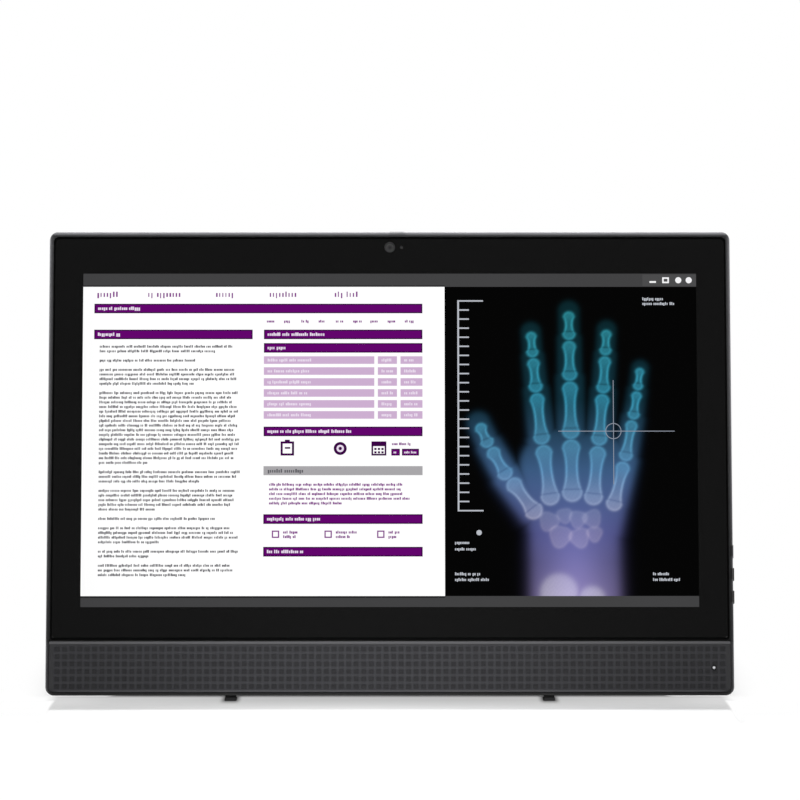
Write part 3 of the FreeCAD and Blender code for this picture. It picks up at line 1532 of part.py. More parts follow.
def build():
    """Every piece in its place, with the origin on the ground under the middle of the whole."""
    shapes = {make.__name__: leaned(make()) for make in UPRIGHT}
    shapes.update({make.__name__: make() for make in ON_THE_GROUND})
    whole = Part.makeCompound(list(shapes.values())).BoundBox
    to_middle = FreeCAD.Vector(0, -(whole.YMin + whole.YMax) / 2, 0)
    for shape in shapes.values():
        shape.translate(to_middle)
    return shapes, to_middle.y


if __name__ == "__main__":
    os.makedirs("parts", exist_ok=True)
    pieces, _ = build()
    for name, shape in pieces.items():
        shape.exportStep(os.path.join("parts", name + ".step"))
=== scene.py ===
"""All-in-one desktop computer: the finish of every piece, the lit screen, the grille and the studio.

Shapes are modelled upright, in millimetres, in the axes of the chassis before it leans back on its
stand: X to the right as seen from the front, Y from the front to the back, Z up. put_in_row() leans them.
"""
import json
import math
import random

import bmesh
import bpy
import numpy as np
from mathutils import Matrix, Vector

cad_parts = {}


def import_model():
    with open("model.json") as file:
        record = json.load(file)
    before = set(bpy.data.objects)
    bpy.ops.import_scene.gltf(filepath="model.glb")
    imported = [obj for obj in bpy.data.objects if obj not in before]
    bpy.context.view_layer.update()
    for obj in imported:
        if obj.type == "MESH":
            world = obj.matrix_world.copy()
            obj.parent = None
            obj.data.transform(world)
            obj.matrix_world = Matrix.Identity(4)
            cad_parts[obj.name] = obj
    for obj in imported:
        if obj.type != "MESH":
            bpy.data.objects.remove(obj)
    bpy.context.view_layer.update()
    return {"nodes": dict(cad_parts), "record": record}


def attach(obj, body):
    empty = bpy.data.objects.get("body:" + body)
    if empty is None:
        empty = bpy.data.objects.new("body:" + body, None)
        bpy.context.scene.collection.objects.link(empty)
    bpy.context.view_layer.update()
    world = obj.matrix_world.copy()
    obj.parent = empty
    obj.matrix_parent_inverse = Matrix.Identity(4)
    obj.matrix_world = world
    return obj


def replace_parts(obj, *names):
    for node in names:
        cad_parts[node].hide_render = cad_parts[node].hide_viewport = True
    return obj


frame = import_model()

scene = bpy.context.scene

# ---- driving values, millimetres and degrees -------------------------------------------------------
LEAN = math.radians(10.0)
MM = 0.001
TO_ROW = Matrix.Rotation(-LEAN, 4, "X") @ Matrix.Scale(MM, 4)
TO_UPRIGHT = TO_ROW.inverted()

SCREEN_WIDTH = 433.9
SCREEN_HEIGHT = 236.3
GLASS_SIDE_GAP = 1.15       # dark gaps round the glass, over the gasket
GLASS_TOP_GAP = 1.5
GLASS_BOTTOM_GAP = 1.7
GLASS_TOP_RADIUS = 3.6
GLASS_BOTTOM_RADIUS = 2.0
GLASS_CHAMFER = 0.25
LIP_WIDTH = 0.7             # the surround's inner lip beside the glass
LIP_LAP = 0.35              # of the lip over the surround
LIP_FOOT_LAP = 0.3          # the same below the glass
LIP_SINK = 0.25             # the lip lies this far behind the surround's front
LIP_BACK_GAP = 0.2          # and ends this far in front of the glass's back
GASKET_SINK = 0.9           # the gasket lies this far behind the glass's front
GASKET_DEPTH = 0.8
GASKET_TUCK = 0.05          # of the gasket under the lip
GASKET_LAP = 0.3            # of the gasket behind the glass
CAMERA_WINDOW_RADIUS = 3.9
CAMERA_LIGHT_RADIUS = 1.15
CAMERA_LIGHT_LENS = 1.0     # radius of the light's own lens, behind its window
CAMERA_WINDOW_GAP = 0.02    # round and in front of the clear glass over the camera
CAMERA_WINDOW_DEPTH = 0.5
SHARP_CORNER = 0.05         # radius at the corners of the opening for the picture

GRILLE_PITCH = 5.232
GRILLE_COLUMNS = 90
GRILLE_ROWS = 6
GRILLE_RIB = 1.8            # between two dimples
GRILLE_DIMPLE_DEPTH = 0.45
GRILLE_DIMPLE_DRAFT = 0.7
DIMPLE_SHADE = (0.9, 2.4)   # from a dimple's middle, where its shade on the ribs starts and ends
GRILLE_TOP_GAP = 0.45
GRILLE_BOTTOM_BORDER = 1.0
GRILLE_BEVEL = 1.9          # height of the chamfer along the top
GRILLE_BEVEL_DEPTH = 1.3
GRILLE_TOP_RADIUS = 0.6
GRILLE_BOTTOM_RADIUS = 3.5
GRILLE_BORDER_LIFT = 0.12   # the plain border stands this far in front of the ribs

LIGHT_RADIUS = 1.05         # of the power light
LIGHT_RING_RADIUS = 1.9
LIGHT_SINK = 0.02           # the light and its ring lie this far behind the grille's front
LIGHT_RING_SINK = 0.06
LIGHT_SEAT = 0.3            # they go this far behind the dimples
KEY_FLANGE = 1.0            # that each key has inside, all round
KEY_PROUD = 0.9             # the blank cap outside the body's side
KEY_ROOT = 0.3              # and inside it
KEY_EDGE = 0.15             # rounding of its edges
KEY_MARK = 3.2              # half the height of the shade beside each key

LAYER = 0.02                # step between the layers of the screen's picture
TILE_DEPTH = LAYER * 0.9
PICTURE_SINK = 0.12         # the picture's ground lies this far behind the face of the glass
PAGE_WIDTH = 255.7          # the document on the left of the screen
TOOLBAR_HEIGHT = 9.4
STATUS_BAR_HEIGHT = 7.7
PICTURE_HEIGHT = SCREEN_HEIGHT - TOOLBAR_HEIGHT - STATUS_BAR_HEIGHT
BAR_HEIGHT = 6.8            # of a heading in the document
BAR_RIM = 0.9
LABEL_INSET = 2.6
LINE_PITCH = 3.3
TEXT_HEIGHT = 1.85
TEXT_INSET = 4.0            # of a paragraph in its column
COLUMN_WIDTH = 112.0
COLUMN_TOP = 40.0
FIRST_COLUMN = 8.0
SECOND_COLUMN = 128.0
PARAGRAPHS = (2, 1, 4, 16, 3, 5, 1, 4, 2, 3)        # lines in each
ROW_PITCH = 7.8             # of the document's table
ROW_HEIGHT = 5.4
SIGN_HEIGHT = 10.0
STROKE_PITCH = 0.58         # from stroke to stroke of a made-up word, as a share of its height
SHORT_STROKE = 0.74
STROKE_DROP = 0.25          # that some strokes go below the line
TALL_STROKES = 0.26         # share of the strokes that are tall
DROPPED_STROKES = 0.12
WORD_SPACE = 0.8            # in strokes
SCAN_CELL = 0.8             # of the grid that carries the radiograph


# ---- places taken from the frame -------------------------------------------------------------------
def upright(node):
    """The lowest and highest corners of a CAD node before the chassis leans, in millimetres."""
    points = np.array([TO_UPRIGHT @ v.co for v in frame["nodes"][node].data.vertices])
    return Vector(points.min(axis=0)), Vector(points.max(axis=0))


glass_low, glass_high = upright("cover_glass")
grille_low, grille_high = upright("speaker_grille")
cell_low, cell_high = upright("lcd_cell")
module_low, module_high = upright("camera_module")
lens_high = upright("camera_lenses")[1]
lamp_low, lamp_high = upright("power_light_lens")
body_low, body_high = upright("mid_frame")
up_low, up_high = upright("brightness_up_button")
down_low, down_high = upright("brightness_down_button")

screen_middle_z = (cell_low.z + cell_high.z) / 2
screen_left = -SCREEN_WIDTH / 2
screen_right = SCREEN_WIDTH / 2
screen_bottom = screen_middle_z - SCREEN_HEIGHT / 2
screen_top = screen_middle_z + SCREEN_HEIGHT / 2
camera_z = (module_low.z + module_high.z) / 2
camera_light_x = lens_high.x - CAMERA_LIGHT_LENS
lamp_x = (lamp_low.x + lamp_high.x) / 2
lamp_z = (lamp_low.z + lamp_high.z) / 2
up_z = (up_low.z + up_high.z) / 2
down_z = (down_low.z + down_high.z) / 2
key_places = (down_z, up_z, 2 * up_z - down_z)
LATCH_X = 5.5               # the middle of the camera shutter's latch
LATCH_HALF = 4.5


# ---- colours ---------------------------------------------------------------------------------------
def tone(red, green=None, blue=None):
    """A colour given as it is seen on a display, from 0 to 255, as the linear one that a shader takes."""
    if green is None:
        green = blue = red
    linear = []
    for value in (red, green, blue):
        share = value / 255
        linear.append(share / 12.92 if share <= 0.04045 else ((share + 0.055) / 1.055) ** 2.4)
    return tuple(linear)


# ---- node recipes ----------------------------------------------------------------------------------
class Field:
    """A number that varies over a surface. Arithmetic on it adds Math nodes."""

    def __init__(self, tree, socket):
        self.tree = tree
        self.socket = socket

    def math(self, operation, *others):
        """This field with others, put through a Math node."""
        node = self.tree.nodes.new("ShaderNodeMath")
        node.operation = operation
        for slot, value in zip(node.inputs, (self,) + others):
            if isinstance(value, Field):
                self.tree.links.new(value.socket, slot)
            else:
                slot.default_value = value
        return Field(self.tree, node.outputs[0])

    def __add__(self, other):
        return self.math("ADD", other)

    def __sub__(self, other):
        return self.math("SUBTRACT", other)

    def __mul__(self, other):
        return self.math("MULTIPLY", other)

    def __truediv__(self, other):
        return self.math("DIVIDE", other)

    def __abs__(self):
        return self.math("ABSOLUTE")

    def most(self, other):
        return self.math("MAXIMUM", other)

    def power(self, exponent):
        return self.math("POWER", exponent)

    def above(self, edge):
        return self.math("GREATER_THAN", edge)

    def below(self, edge):
        return self.math("LESS_THAN", edge)

    def rest(self):
        """What is left of 1."""
        return self * -1.0 + 1.0

    def in_cell(self, pitch):
        """The distance from the middle of a cell, with cells of one pitch, negative on one side."""
        return (self / pitch).math("FRACT") * pitch - pitch / 2

    def ramp(self, start, end, low=0.0, high=1.0):
        """A smooth step from low at start to high at end."""
        node = self.tree.nodes.new("ShaderNodeMapRange")
        node.interpolation_type = "SMOOTHSTEP"
        self.tree.links.new(self.socket, node.inputs["Value"])
        node.inputs["From Min"].default_value = start
        node.inputs["From Max"].default_value = end
        node.inputs["To Min"].default_value = low
        node.inputs["To Max"].default_value = high
        return Field(self.tree, node.outputs["Result"])


def distance(first, second):
    """How far a place is from where both fields are 0."""
    return (first.power(2.0) + second.power(2.0)).power(0.5)


class Finish:
    """One material: a Principled shader, and the nodes that vary it in upright millimetres."""

    def __init__(self, name, colour, roughness, metallic=0.0, specular=0.5):
        self.material = bpy.data.materials.new(name)
        self.material.use_nodes = True
        self.tree = self.material.node_tree
        self.shader = self.tree.nodes["Principled BSDF"]
        self.shader.inputs["Base Color"].default_value = (*colour, 1.0)
        self.shader.inputs["Roughness"].default_value = roughness
        self.shader.inputs["Metallic"].default_value = metallic
        self.shader.inputs["Specular IOR Level"].default_value = specular
        self.colour = colour
        place = self.tree.nodes.new("ShaderNodeTexCoord")
        turn = self.tree.nodes.new("ShaderNodeMapping")
        turn.inputs["Rotation"].default_value = (LEAN, 0.0, 0.0)
        turn.inputs["Scale"].default_value = (1 / MM, 1 / MM, 1 / MM)
        self.tree.links.new(place.outputs["Object"], turn.inputs["Vector"])
        self.place = turn.outputs["Vector"]

    def axes(self):
        """The upright coordinates as three fields."""
        split = self.tree.nodes.new("ShaderNodeSeparateXYZ")
        self.tree.links.new(self.place, split.inputs[0])
        return [Field(self.tree, socket) for socket in split.outputs]

    def stretched(self, scale):
        """The upright coordinates multiplied axis by axis."""
        node = self.tree.nodes.new("ShaderNodeVectorMath")
        node.operation = "MULTIPLY"
        self.tree.links.new(self.place, node.inputs[0])
        node.inputs[1].default_value = scale
        return node.outputs[0]

    def noise(self, size, detail=2.0, stretch=None):
        """Noise from 0 to 1 whose spots are about size millimetres across."""
        node = self.tree.nodes.new("ShaderNodeTexNoise")
        self.tree.links.new(self.stretched(stretch) if stretch else self.place, node.inputs["Vector"])
        node.inputs["Scale"].default_value = 1 / size
        node.inputs["Detail"].default_value = detail
        return Field(self.tree, node.outputs[0])

    def grains(self, size, output="Distance"):
        """A field of cells about size millimetres across."""
        node = self.tree.nodes.new("ShaderNodeTexVoronoi")
        self.tree.links.new(self.place, node.inputs["Vector"])
        node.inputs["Scale"].default_value = 1 / size
        return Field(self.tree, node.outputs[output])

    def mixed(self, share, first, second):
        """A colour socket that goes from first to second with share."""
        node = self.tree.nodes.new("ShaderNodeMix")
        node.data_type = "RGBA"
        self.tree.links.new(share.socket, node.inputs[0])
        for slot, value in ((node.inputs[6], first), (node.inputs[7], second)):
            if isinstance(value, bpy.types.NodeSocket):
                self.tree.links.new(value, slot)
            else:
                slot.default_value = (*value, 1.0)
        return node.outputs[2]

    def scaled(self, colour, strength):
        """A colour socket multiplied by a field."""
        return self.mixed(strength, (0.0, 0.0, 0.0), colour)

    def paint(self, socket, to="Base Color"):
        """Links a socket or a field to an input of the shader."""
        source = socket.socket if isinstance(socket, Field) else socket
        self.tree.links.new(source, self.shader.inputs[to])
        return self

    def tint(self, factor, most):
        """The colour times a field whose values stay under most."""
        return self.paint(self.scaled(tuple(value * most for value in self.colour), factor / most))

    def vary_colour(self, field, low, high):
        """The colour times a factor that goes from low to high with the field."""
        dark = tuple(value * low for value in self.colour)
        light = tuple(min(1.0, value * high) for value in self.colour)
        return self.paint(self.mixed(field, dark, light))

    def vary_roughness(self, field, low, high):
        """A roughness that goes from low to high with a noise field."""
        return self.paint(field.ramp(0.3, 0.7, low, high), "Roughness")

    def relief(self, height, depth):
        """A bump whose height field, from 0 to 1, stands for depth millimetres."""
        bump = self.tree.nodes.new("ShaderNodeBump")
        bump.inputs["Strength"].default_value = 1.0
        bump.inputs["Distance"].default_value = depth * MM
        self.tree.links.new(height.socket, bump.inputs["Height"])
        self.tree.links.new(bump.outputs["Normal"], self.shader.inputs["Normal"])
        return self

    def glow(self, socket, strength=1.0):
        """Light given off, in the colour of a socket."""
        self.paint(socket, "Emission Color")
        self.shader.inputs["Emission Strength"].default_value = strength
        return self


# ---- finishes of plastics, paints and rubber -------------------------------------------------------
def satin_paint():
    """Graphite satin of the surround, with painted light on its front edge: painted highlights that grow
    outwards, and painted shade deeper towards the foot.
    """
    finish = Finish("satin graphite", tone(66, 66, 68), roughness=0.36, specular=0.5)
    x, y, z = finish.axes()
    # painted light, lighter further up the glass, even beside the grille, and painted shade along the very
    # foot
    foot = glass_low.z
    height = z.ramp(foot, foot + 220.0, 0.2, 0.9).most(z.ramp(foot - 2.0, foot, 0.36, 0.0))
    height = height * z.ramp(body_low.z + 1.2, body_low.z + 2.4, 0.22, 1.0)
    # painted highlights on the roundings of the sides and the top, a little less bright under the latch
    side = abs(x).ramp(body_high.x - 3.0, body_high.x - 0.8, 0.62, 2.0)
    side = side + abs(x).ramp(body_high.x - 1.2, body_high.x - 0.2, 0.0, 5.0)
    top = z.ramp(body_high.z - 3.4, body_high.z - 0.8, 0.0, 4.4)
    top = top * abs(x - LATCH_X).ramp(LATCH_HALF, LATCH_HALF + 2.5, 0.7, 1.0)
    # all of that on the front rounding only
    front = y.ramp(body_low.y + 2.6, body_low.y + 5.0, 1.0, 0.0)
    factor = front * (height * side).most(top) + front.rest() * 0.8
    # painted shade on the right side's front rounding beside each key
    plain = y.ramp(body_low.y + 1.2, body_low.y + 3.2)
    plain = plain.most(x.ramp(body_high.x - 2.6, body_high.x - 1.6, 1.0, 0.0))
    for key_z in key_places:
        beside = abs(z - key_z).ramp(KEY_MARK, KEY_MARK + 1.2)
        factor = factor * plain.most(beside).ramp(0.0, 1.0, 0.2, 1.0)
    speckle = finish.noise(0.35, detail=3).ramp(0.2, 0.8, 0.92, 1.08)
    finish.tint(factor * speckle, 4.5)
    finish.vary_roughness(finish.noise(14.0, detail=3), 0.33, 0.40)
    return finish.relief(finish.noise(0.18, detail=2), 0.006).material


def printed_glass():
    """Clear glass over a black print, with a trace of handling in its shine."""
    finish = Finish("black printed glass", tone(12, 12, 12), roughness=0.06)
    finish.vary_colour(finish.noise(60.0, detail=2), 0.97, 1.03)
    finish.vary_roughness(finish.noise(45.0, detail=4), 0.05, 0.085)
    return finish.material


def spark_eroded(name, colour, roughness, grain, depth, specular=0.5):
    """Moulded plastic with a spark-eroded texture: small pits of many sizes."""
    finish = Finish(name, colour, roughness, specular=specular)
    pits = finish.grains(grain).ramp(0.0, 0.7)
    cloud = finish.noise(grain * 2.4, detail=4)
    height = pits * 0.6 + cloud * 0.4
    finish.vary_colour(height, 0.86, 1.12)
    finish.vary_roughness(finish.noise(30.0, detail=3), roughness - 0.05, roughness + 0.05)
    return finish.relief(height, depth).material


def gasket_foam():
    """Matt black foam that the glass is bedded on."""
    finish = Finish("gasket foam", tone(7, 7, 7), roughness=0.95, specular=0.1)
    bubbles = finish.grains(0.25)
    finish.vary_colour(bubbles, 0.6, 1.3)
    return finish.relief(bubbles, 0.03).material


def gloss_moulding(name, colour):
    """Smooth moulded plastic with faint flow lines."""
    finish = Finish(name, colour, 0.22)
    flow = finish.noise(6.0, detail=3)
    finish.vary_colour(flow, 0.9, 1.1)
    finish.vary_roughness(flow, 0.18, 0.28)
    return finish.relief(finish.noise(3.0), 0.004).material


def rubber():
    """Black rubber of the feet, with painted shade, deepest where a front foot enters the body."""
    finish = Finish("foot rubber", tone(30, 30, 31), roughness=0.75, specular=0.35)
    z = finish.axes()[2]
    speckle = finish.noise(0.5, detail=4)
    # painted shade where a front foot enters the body
    painted_seat_shade = z.ramp(body_low.z - 2.0, body_low.z - 0.9, 1.0, 0.12)
    finish.tint(painted_seat_shade * speckle.ramp(0.2, 0.8, 0.8, 1.2), 1.3)
    finish.vary_roughness(finish.noise(5.0), 0.68, 0.82)
    return finish.relief(speckle, 0.03).material


def powder_coat():
    """Dark powder coat of the stand, with its fine orange peel."""
    finish = Finish("powder coat", tone(52, 52, 54), roughness=0.5)
    peel = finish.noise(0.9, detail=2)
    finish.vary_colour(peel, 0.88, 1.12)
    finish.vary_roughness(peel, 0.42, 0.56)
    return finish.relief(peel, 0.035).material


def diffuser_sheet():
    """The backlight's white sheet, with small beads."""
    finish = Finish("diffuser sheet", tone(232, 233, 235), roughness=0.55)
    beads = finish.grains(0.4)
    finish.vary_colour(beads, 0.94, 1.0)
    return finish.relief(beads, 0.01).material


def cone_paper():
    """Pressed pulp of the speaker cones."""
    finish = Finish("cone paper", tone(50, 49, 48), roughness=0.85, specular=0.2)
    fibres = finish.noise(1.2, detail=5, stretch=(1.0, 1.0, 0.35))
    finish.vary_colour(fibres, 0.7, 1.3)
    return finish.relief(fibres, 0.06).material


# ---- finishes of metals ----------------------------------------------------------------------------
def rolled_metal(name, colour, roughness, grain_axis=(1.0, 1.0, 1.0), lines=0.6):
    """Sheet or turned metal whose fine lines run along the axis with the small factor."""
    finish = Finish(name, colour, roughness, metallic=1.0)
    grain = finish.noise(lines, detail=4, stretch=grain_axis)
    finish.vary_colour(grain, 0.86, 1.1)
    finish.vary_roughness(grain, max(0.05, roughness - 0.08), roughness + 0.08)
    return finish.relief(grain, 0.012).material


def zinc_plate():
    """Galvanised sheet: faint spangle over rolled grain."""
    finish = Finish("zinc plate", tone(176, 179, 182), roughness=0.38, metallic=1.0)
    spangle = finish.grains(9.0, output="Color")
    finish.vary_colour(spangle, 0.82, 1.08)
    finish.vary_roughness(spangle, 0.3, 0.46)
    return finish.relief(finish.noise(0.8, stretch=(0.1, 1.0, 1.0)), 0.01).material


# ---- finishes of electronics -----------------------------------------------------------------------
def circuit_board():
    """Green solder mask with tracks under it and small parts' lands."""
    finish = Finish("circuit board", tone(22, 84, 52), roughness=0.38)
    x, _, z = finish.axes()
    bend = finish.noise(22.0, detail=0).ramp(0.35, 0.65, -6.0, 6.0)
    tracks = abs((x + bend).in_cell(1.6)).ramp(0.28, 0.36, 1.0, 0.0)
    crossing = abs((z + bend).in_cell(2.1)).ramp(0.32, 0.4, 1.0, 0.0)
    area = finish.noise(16.0, detail=1)
    copper = tracks * area.above(0.5) + crossing * area.below(0.5)
    lands = finish.grains(2.2).ramp(0.16, 0.2, 1.0, 0.0)
    mask = finish.mixed(copper, tone(14, 66, 40), tone(40, 118, 74))
    finish.paint(finish.mixed(lands, mask, tone(196, 190, 172)))
    return finish.relief(copper * 0.5 + lands * 0.5, 0.04).material


def cable_film():
    """Amber film over parallel conductors."""
    finish = Finish("cable film", tone(186, 150, 96), roughness=0.4)
    x, _, z = finish.axes()
    conductors = abs((x + z).in_cell(0.8)).ramp(0.2, 0.26, 1.0, 0.0)
    finish.paint(finish.mixed(conductors, tone(168, 122, 62), tone(206, 150, 98)))
    return finish.relief(conductors, 0.03).material


def panel_glass():
    """The display panel behind the cover glass: near black, with the polariser's soft haze."""
    finish = Finish("panel polariser", tone(34, 34, 38), roughness=0.42)
    haze = finish.noise(0.25, detail=2)
    finish.vary_colour(haze, 0.92, 1.08)
    return finish.relief(haze, 0.004).material


def lit_lens():
    """The small lens of the power light, brightest in its middle."""
    finish = Finish("power light lens", tone(110, 111, 114), roughness=0.4, specular=0.3)
    x, _, z = finish.axes()
    halo = distance(x - lamp_x, z - lamp_z).ramp(0.2, 1.0, 1.0, 0.3)
    return finish.glow(finish.scaled(tone(196, 197, 200), halo)).material


def clear_window():
    """Clear glass over the camera."""
    finish = Finish("camera window", (1.0, 1.0, 1.0), roughness=0.02)
    finish.shader.inputs["Transmission Weight"].default_value = 1.0
    finish.shader.inputs["IOR"].default_value = 1.5
    finish.vary_colour(finish.noise(2.0), 0.98, 1.0)
    return finish.material


def lens_glass():
    """The webcam's lens, darker in its middle, and the pale lens of its light."""
    finish = Finish("coated lens", tone(28, 30, 36), roughness=0.08)
    x, _, z = finish.axes()
    reach = distance(x, z - camera_z)
    lens = finish.mixed(reach.ramp(0.3, 1.6), tone(76, 76, 78), tone(106, 106, 107))
    finish.paint(finish.mixed(x.above(camera_light_x / 2), lens, tone(200, 200, 200)))
    return finish.material


SLOT_FINISHES = {
    "surround_plastic": satin_paint(),
    "cover_glass": printed_glass(),
    "grille_plastic": spark_eroded("grille plastic", tone(51, 51, 54), 0.5, 0.35, 0.015, 0.3),
    "light_lens": lit_lens(),
    "panel_steel": rolled_metal("panel steel", tone(190, 192, 195), 0.35, (0.08, 1.0, 1.0)),
    "lcd_glass": panel_glass(),
    "diffuser": diffuser_sheet(),
    "circuit_board": circuit_board(),
    "cable_film": cable_film(),
    "chassis_steel": zinc_plate(),
    "screw_steel": rolled_metal("black screw steel", tone(92, 92, 95), 0.34, lines=0.4),
    "inner_plastic": spark_eroded("inner plastic", tone(44, 44, 46), 0.55, 0.8, 0.03),
    "speaker_cone": cone_paper(),
    "button_plastic": spark_eroded("button plastic", tone(24, 24, 25), 0.5, 0.3, 0.008, 0.2),
    "cover_plastic": spark_eroded("rear cover plastic", tone(40, 40, 42), 0.5, 0.7, 0.035),
    "processor_metal": rolled_metal("nickel plate", tone(206, 205, 200), 0.25, (1.0, 1.0, 0.1)),
    "copper": rolled_metal("copper", tone(222, 152, 118), 0.28, (0.2, 1.0, 1.0), 1.0),
    "fin_aluminium": rolled_metal("fin aluminium", tone(214, 216, 219), 0.32, (1.0, 0.1, 1.0)),
    "port_steel": rolled_metal("plated shells", tone(200, 200, 203), 0.26, (1.0, 1.0, 0.15), 0.5),
    "jack_plastic": gloss_moulding("jack plastic", tone(24, 24, 26)),
    "stand_metal": powder_coat(),
    "pin_steel": rolled_metal("ground pin", tone(172, 172, 176), 0.24, (0.1, 1.0, 1.0), 0.5),
    "foot_rubber": rubber(),
}


NODE_FINISHES = {
    "camera_lenses": lens_glass(),
    "camera_shutter": spark_eroded("shutter grey", tone(84, 84, 86), 0.45, 0.3, 0.006),
    "camera_module": spark_eroded("camera barrel", tone(106, 107, 108), 0.4, 0.3, 0.006),
}


def dress_cad_nodes():
    """Gives every CAD node the finish of its material slot, or its own."""
    for row in frame["record"]["subparts"]:
        mesh = frame["nodes"][row["node"]].data
        mesh.materials.clear()
        mesh.materials.append(NODE_FINISHES.get(row["node"], SLOT_FINISHES[row["material_slot"]]))


# ---- shapes ----------------------------------------------------------------------------------------
def put_in_row(bm, name, materials, fresh_normals=True):
    """Leans a finished bmesh back with the chassis and makes it a piece that rides on it."""
    if fresh_normals:
        bmesh.ops.recalc_face_normals(bm, faces=bm.faces)
    bm.transform(TO_ROW)
    mesh = bpy.data.meshes.new(name)
    bm.to_mesh(mesh)
    bm.free()
    for material in materials:
        mesh.materials.append(material)
    piece = bpy.data.objects.new(name, mesh)
    scene.collection.objects.link(piece)
    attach(piece, "chassis")
    return piece


def box(bm, x0, x1, y0, y1, z0, z1):
    """A closed box between two corners."""
    size = Matrix.Diagonal((x1 - x0, y1 - y0, z1 - z0, 1.0))
    middle = Matrix.Translation(((x0 + x1) / 2, (y0 + y1) / 2, (z0 + z1) / 2))
    bmesh.ops.create_cube(bm, size=1.0, matrix=middle @ size)


def facing_front(x, y, z):
    """Turns a flat shape made in X and Y to face along Y, and puts its middle at a place."""
    return Matrix.Translation((x, y, z)) @ Matrix.Rotation(math.radians(90), 4, "X")


def rounded_face(bm, x0, x1, z0, z1, y, top_radius, bottom_radius, segments=6):
    """A flat face across Y with round corners."""
    place = facing_front((x0 + x1) / 2, y, (z0 + z1) / 2) @ Matrix.Diagonal((x1 - x0, z1 - z0, 1, 1))
    corners = bmesh.ops.create_grid(bm, x_segments=1, y_segments=1, size=0.5, matrix=place)["verts"]
    middle_z = (z0 + z1) / 2
    faces = set()
    for radius, chosen in ((top_radius, [v for v in corners if v.co.z > middle_z]),
                           (bottom_radius, [v for v in corners if v.co.z < middle_z])):
        made = bmesh.ops.bevel(bm, geom=chosen, offset=radius, segments=segments, profile=0.5,
                               affect="VERTICES", material=-1)
        faces.update(face for v in made["verts"] for face in v.link_faces)
    return max((face for face in faces if face.is_valid), key=lambda face: len(face.verts))


def loop_swept(bm, edges, shift, shrink=0.0):
    """Extrudes a loop of edges by shift, and pulls the new loop in towards its middle by shrink."""
    made = bmesh.ops.extrude_edge_only(bm, edges=edges)["geom"]
    verts = [item for item in made if isinstance(item, bmesh.types.BMVert)]
    bmesh.ops.translate(bm, verts=verts, vec=shift)
    if shrink:
        xs = [v.co.x for v in verts]
        zs = [v.co.z for v in verts]
        middle = Vector(((min(xs) + max(xs)) / 2, 0, (min(zs) + max(zs)) / 2))
        factor = (1 - 2 * shrink / (max(xs) - min(xs)), 1, 1 - 2 * shrink / (max(zs) - min(zs)))
        bmesh.ops.scale(bm, verts=verts, vec=factor, space=Matrix.Translation(-middle))
    return [item for item in made if isinstance(item, bmesh.types.BMEdge)
            and all(v in verts for v in item.verts)]


def outline_edges(bm, face):
    """The edges round a face, with the face itself taken away."""
    edges = list(face.edges)
    bmesh.ops.delete(bm, geom=[face], context="FACES_ONLY")
    return edges


def circle_edges(bm, x, y, z, radius, segments=40):
    """The edges of a circle that faces the front."""
    verts = bmesh.ops.create_circle(bm, segments=segments, radius=radius,
                                    matrix=facing_front(x, y, z))["verts"]
    return list(dict.fromkeys(edge for v in verts for edge in v.link_edges))


def disc(bm, x, z, radius, y0, y1, segments=40):
    """A closed round plate."""
    edges = circle_edges(bm, x, y0, z, radius, segments)
    bmesh.ops.triangle_fill(bm, edges=edges, use_beauty=True)
    back = loop_swept(bm, edges, (0, y1 - y0, 0))
    bmesh.ops.triangle_fill(bm, edges=back, use_beauty=True)


# ---- cover glass -----------------------------------------------------------------------------------
def ring_plate(bm, outer, inner, depth):
    """A closed flat ring between two loops of edges."""
    back = loop_swept(bm, outer, (0, depth, 0)) + loop_swept(bm, inner, (0, depth, 0))
    bmesh.ops.triangle_fill(bm, edges=outer + inner, use_beauty=True)
    bmesh.ops.triangle_fill(bm, edges=back, use_beauty=True)


def glass_outline(bm, side, top, bottom, y, radius_change=0.0):
    """The outline of the opening for the glass, drawn in at the sides, the top and the bottom."""
    return outline_edges(bm, rounded_face(bm, glass_low.x + side, glass_high.x - side,
                                          glass_low.z + bottom, glass_high.z - top, y,
                                          GLASS_TOP_RADIUS + radius_change,
                                          GLASS_BOTTOM_RADIUS + radius_change))


def glass_seat():
    """The surround's inner lip, and the gasket in the gap between it and the glass."""
    bm = bmesh.new()
    front = body_low.y + LIP_SINK
    outer = glass_outline(bm, -LIP_LAP, -LIP_LAP, -LIP_FOOT_LAP, front, LIP_LAP)
    inner = glass_outline(bm, LIP_WIDTH - LIP_LAP, 0.0, 0.0, front)
    ring_plate(bm, outer, inner, glass_high.y - LIP_BACK_GAP - front)
    put_in_row(bm, "glass_lip", [SLOT_FINISHES["surround_plastic"]])
    bm = bmesh.new()
    front = glass_low.y + GASKET_SINK
    outer = glass_outline(bm, LIP_WIDTH - LIP_LAP - GASKET_TUCK, -GASKET_TUCK, 0.0, front)
    inner = glass_outline(bm, LIP_WIDTH + GLASS_SIDE_GAP, GLASS_TOP_GAP + GASKET_LAP,
                          GLASS_BOTTOM_GAP + GASKET_LAP, front)
    ring_plate(bm, outer, inner, GASKET_DEPTH)
    put_in_row(bm, "glass_gasket", [gasket_foam()])


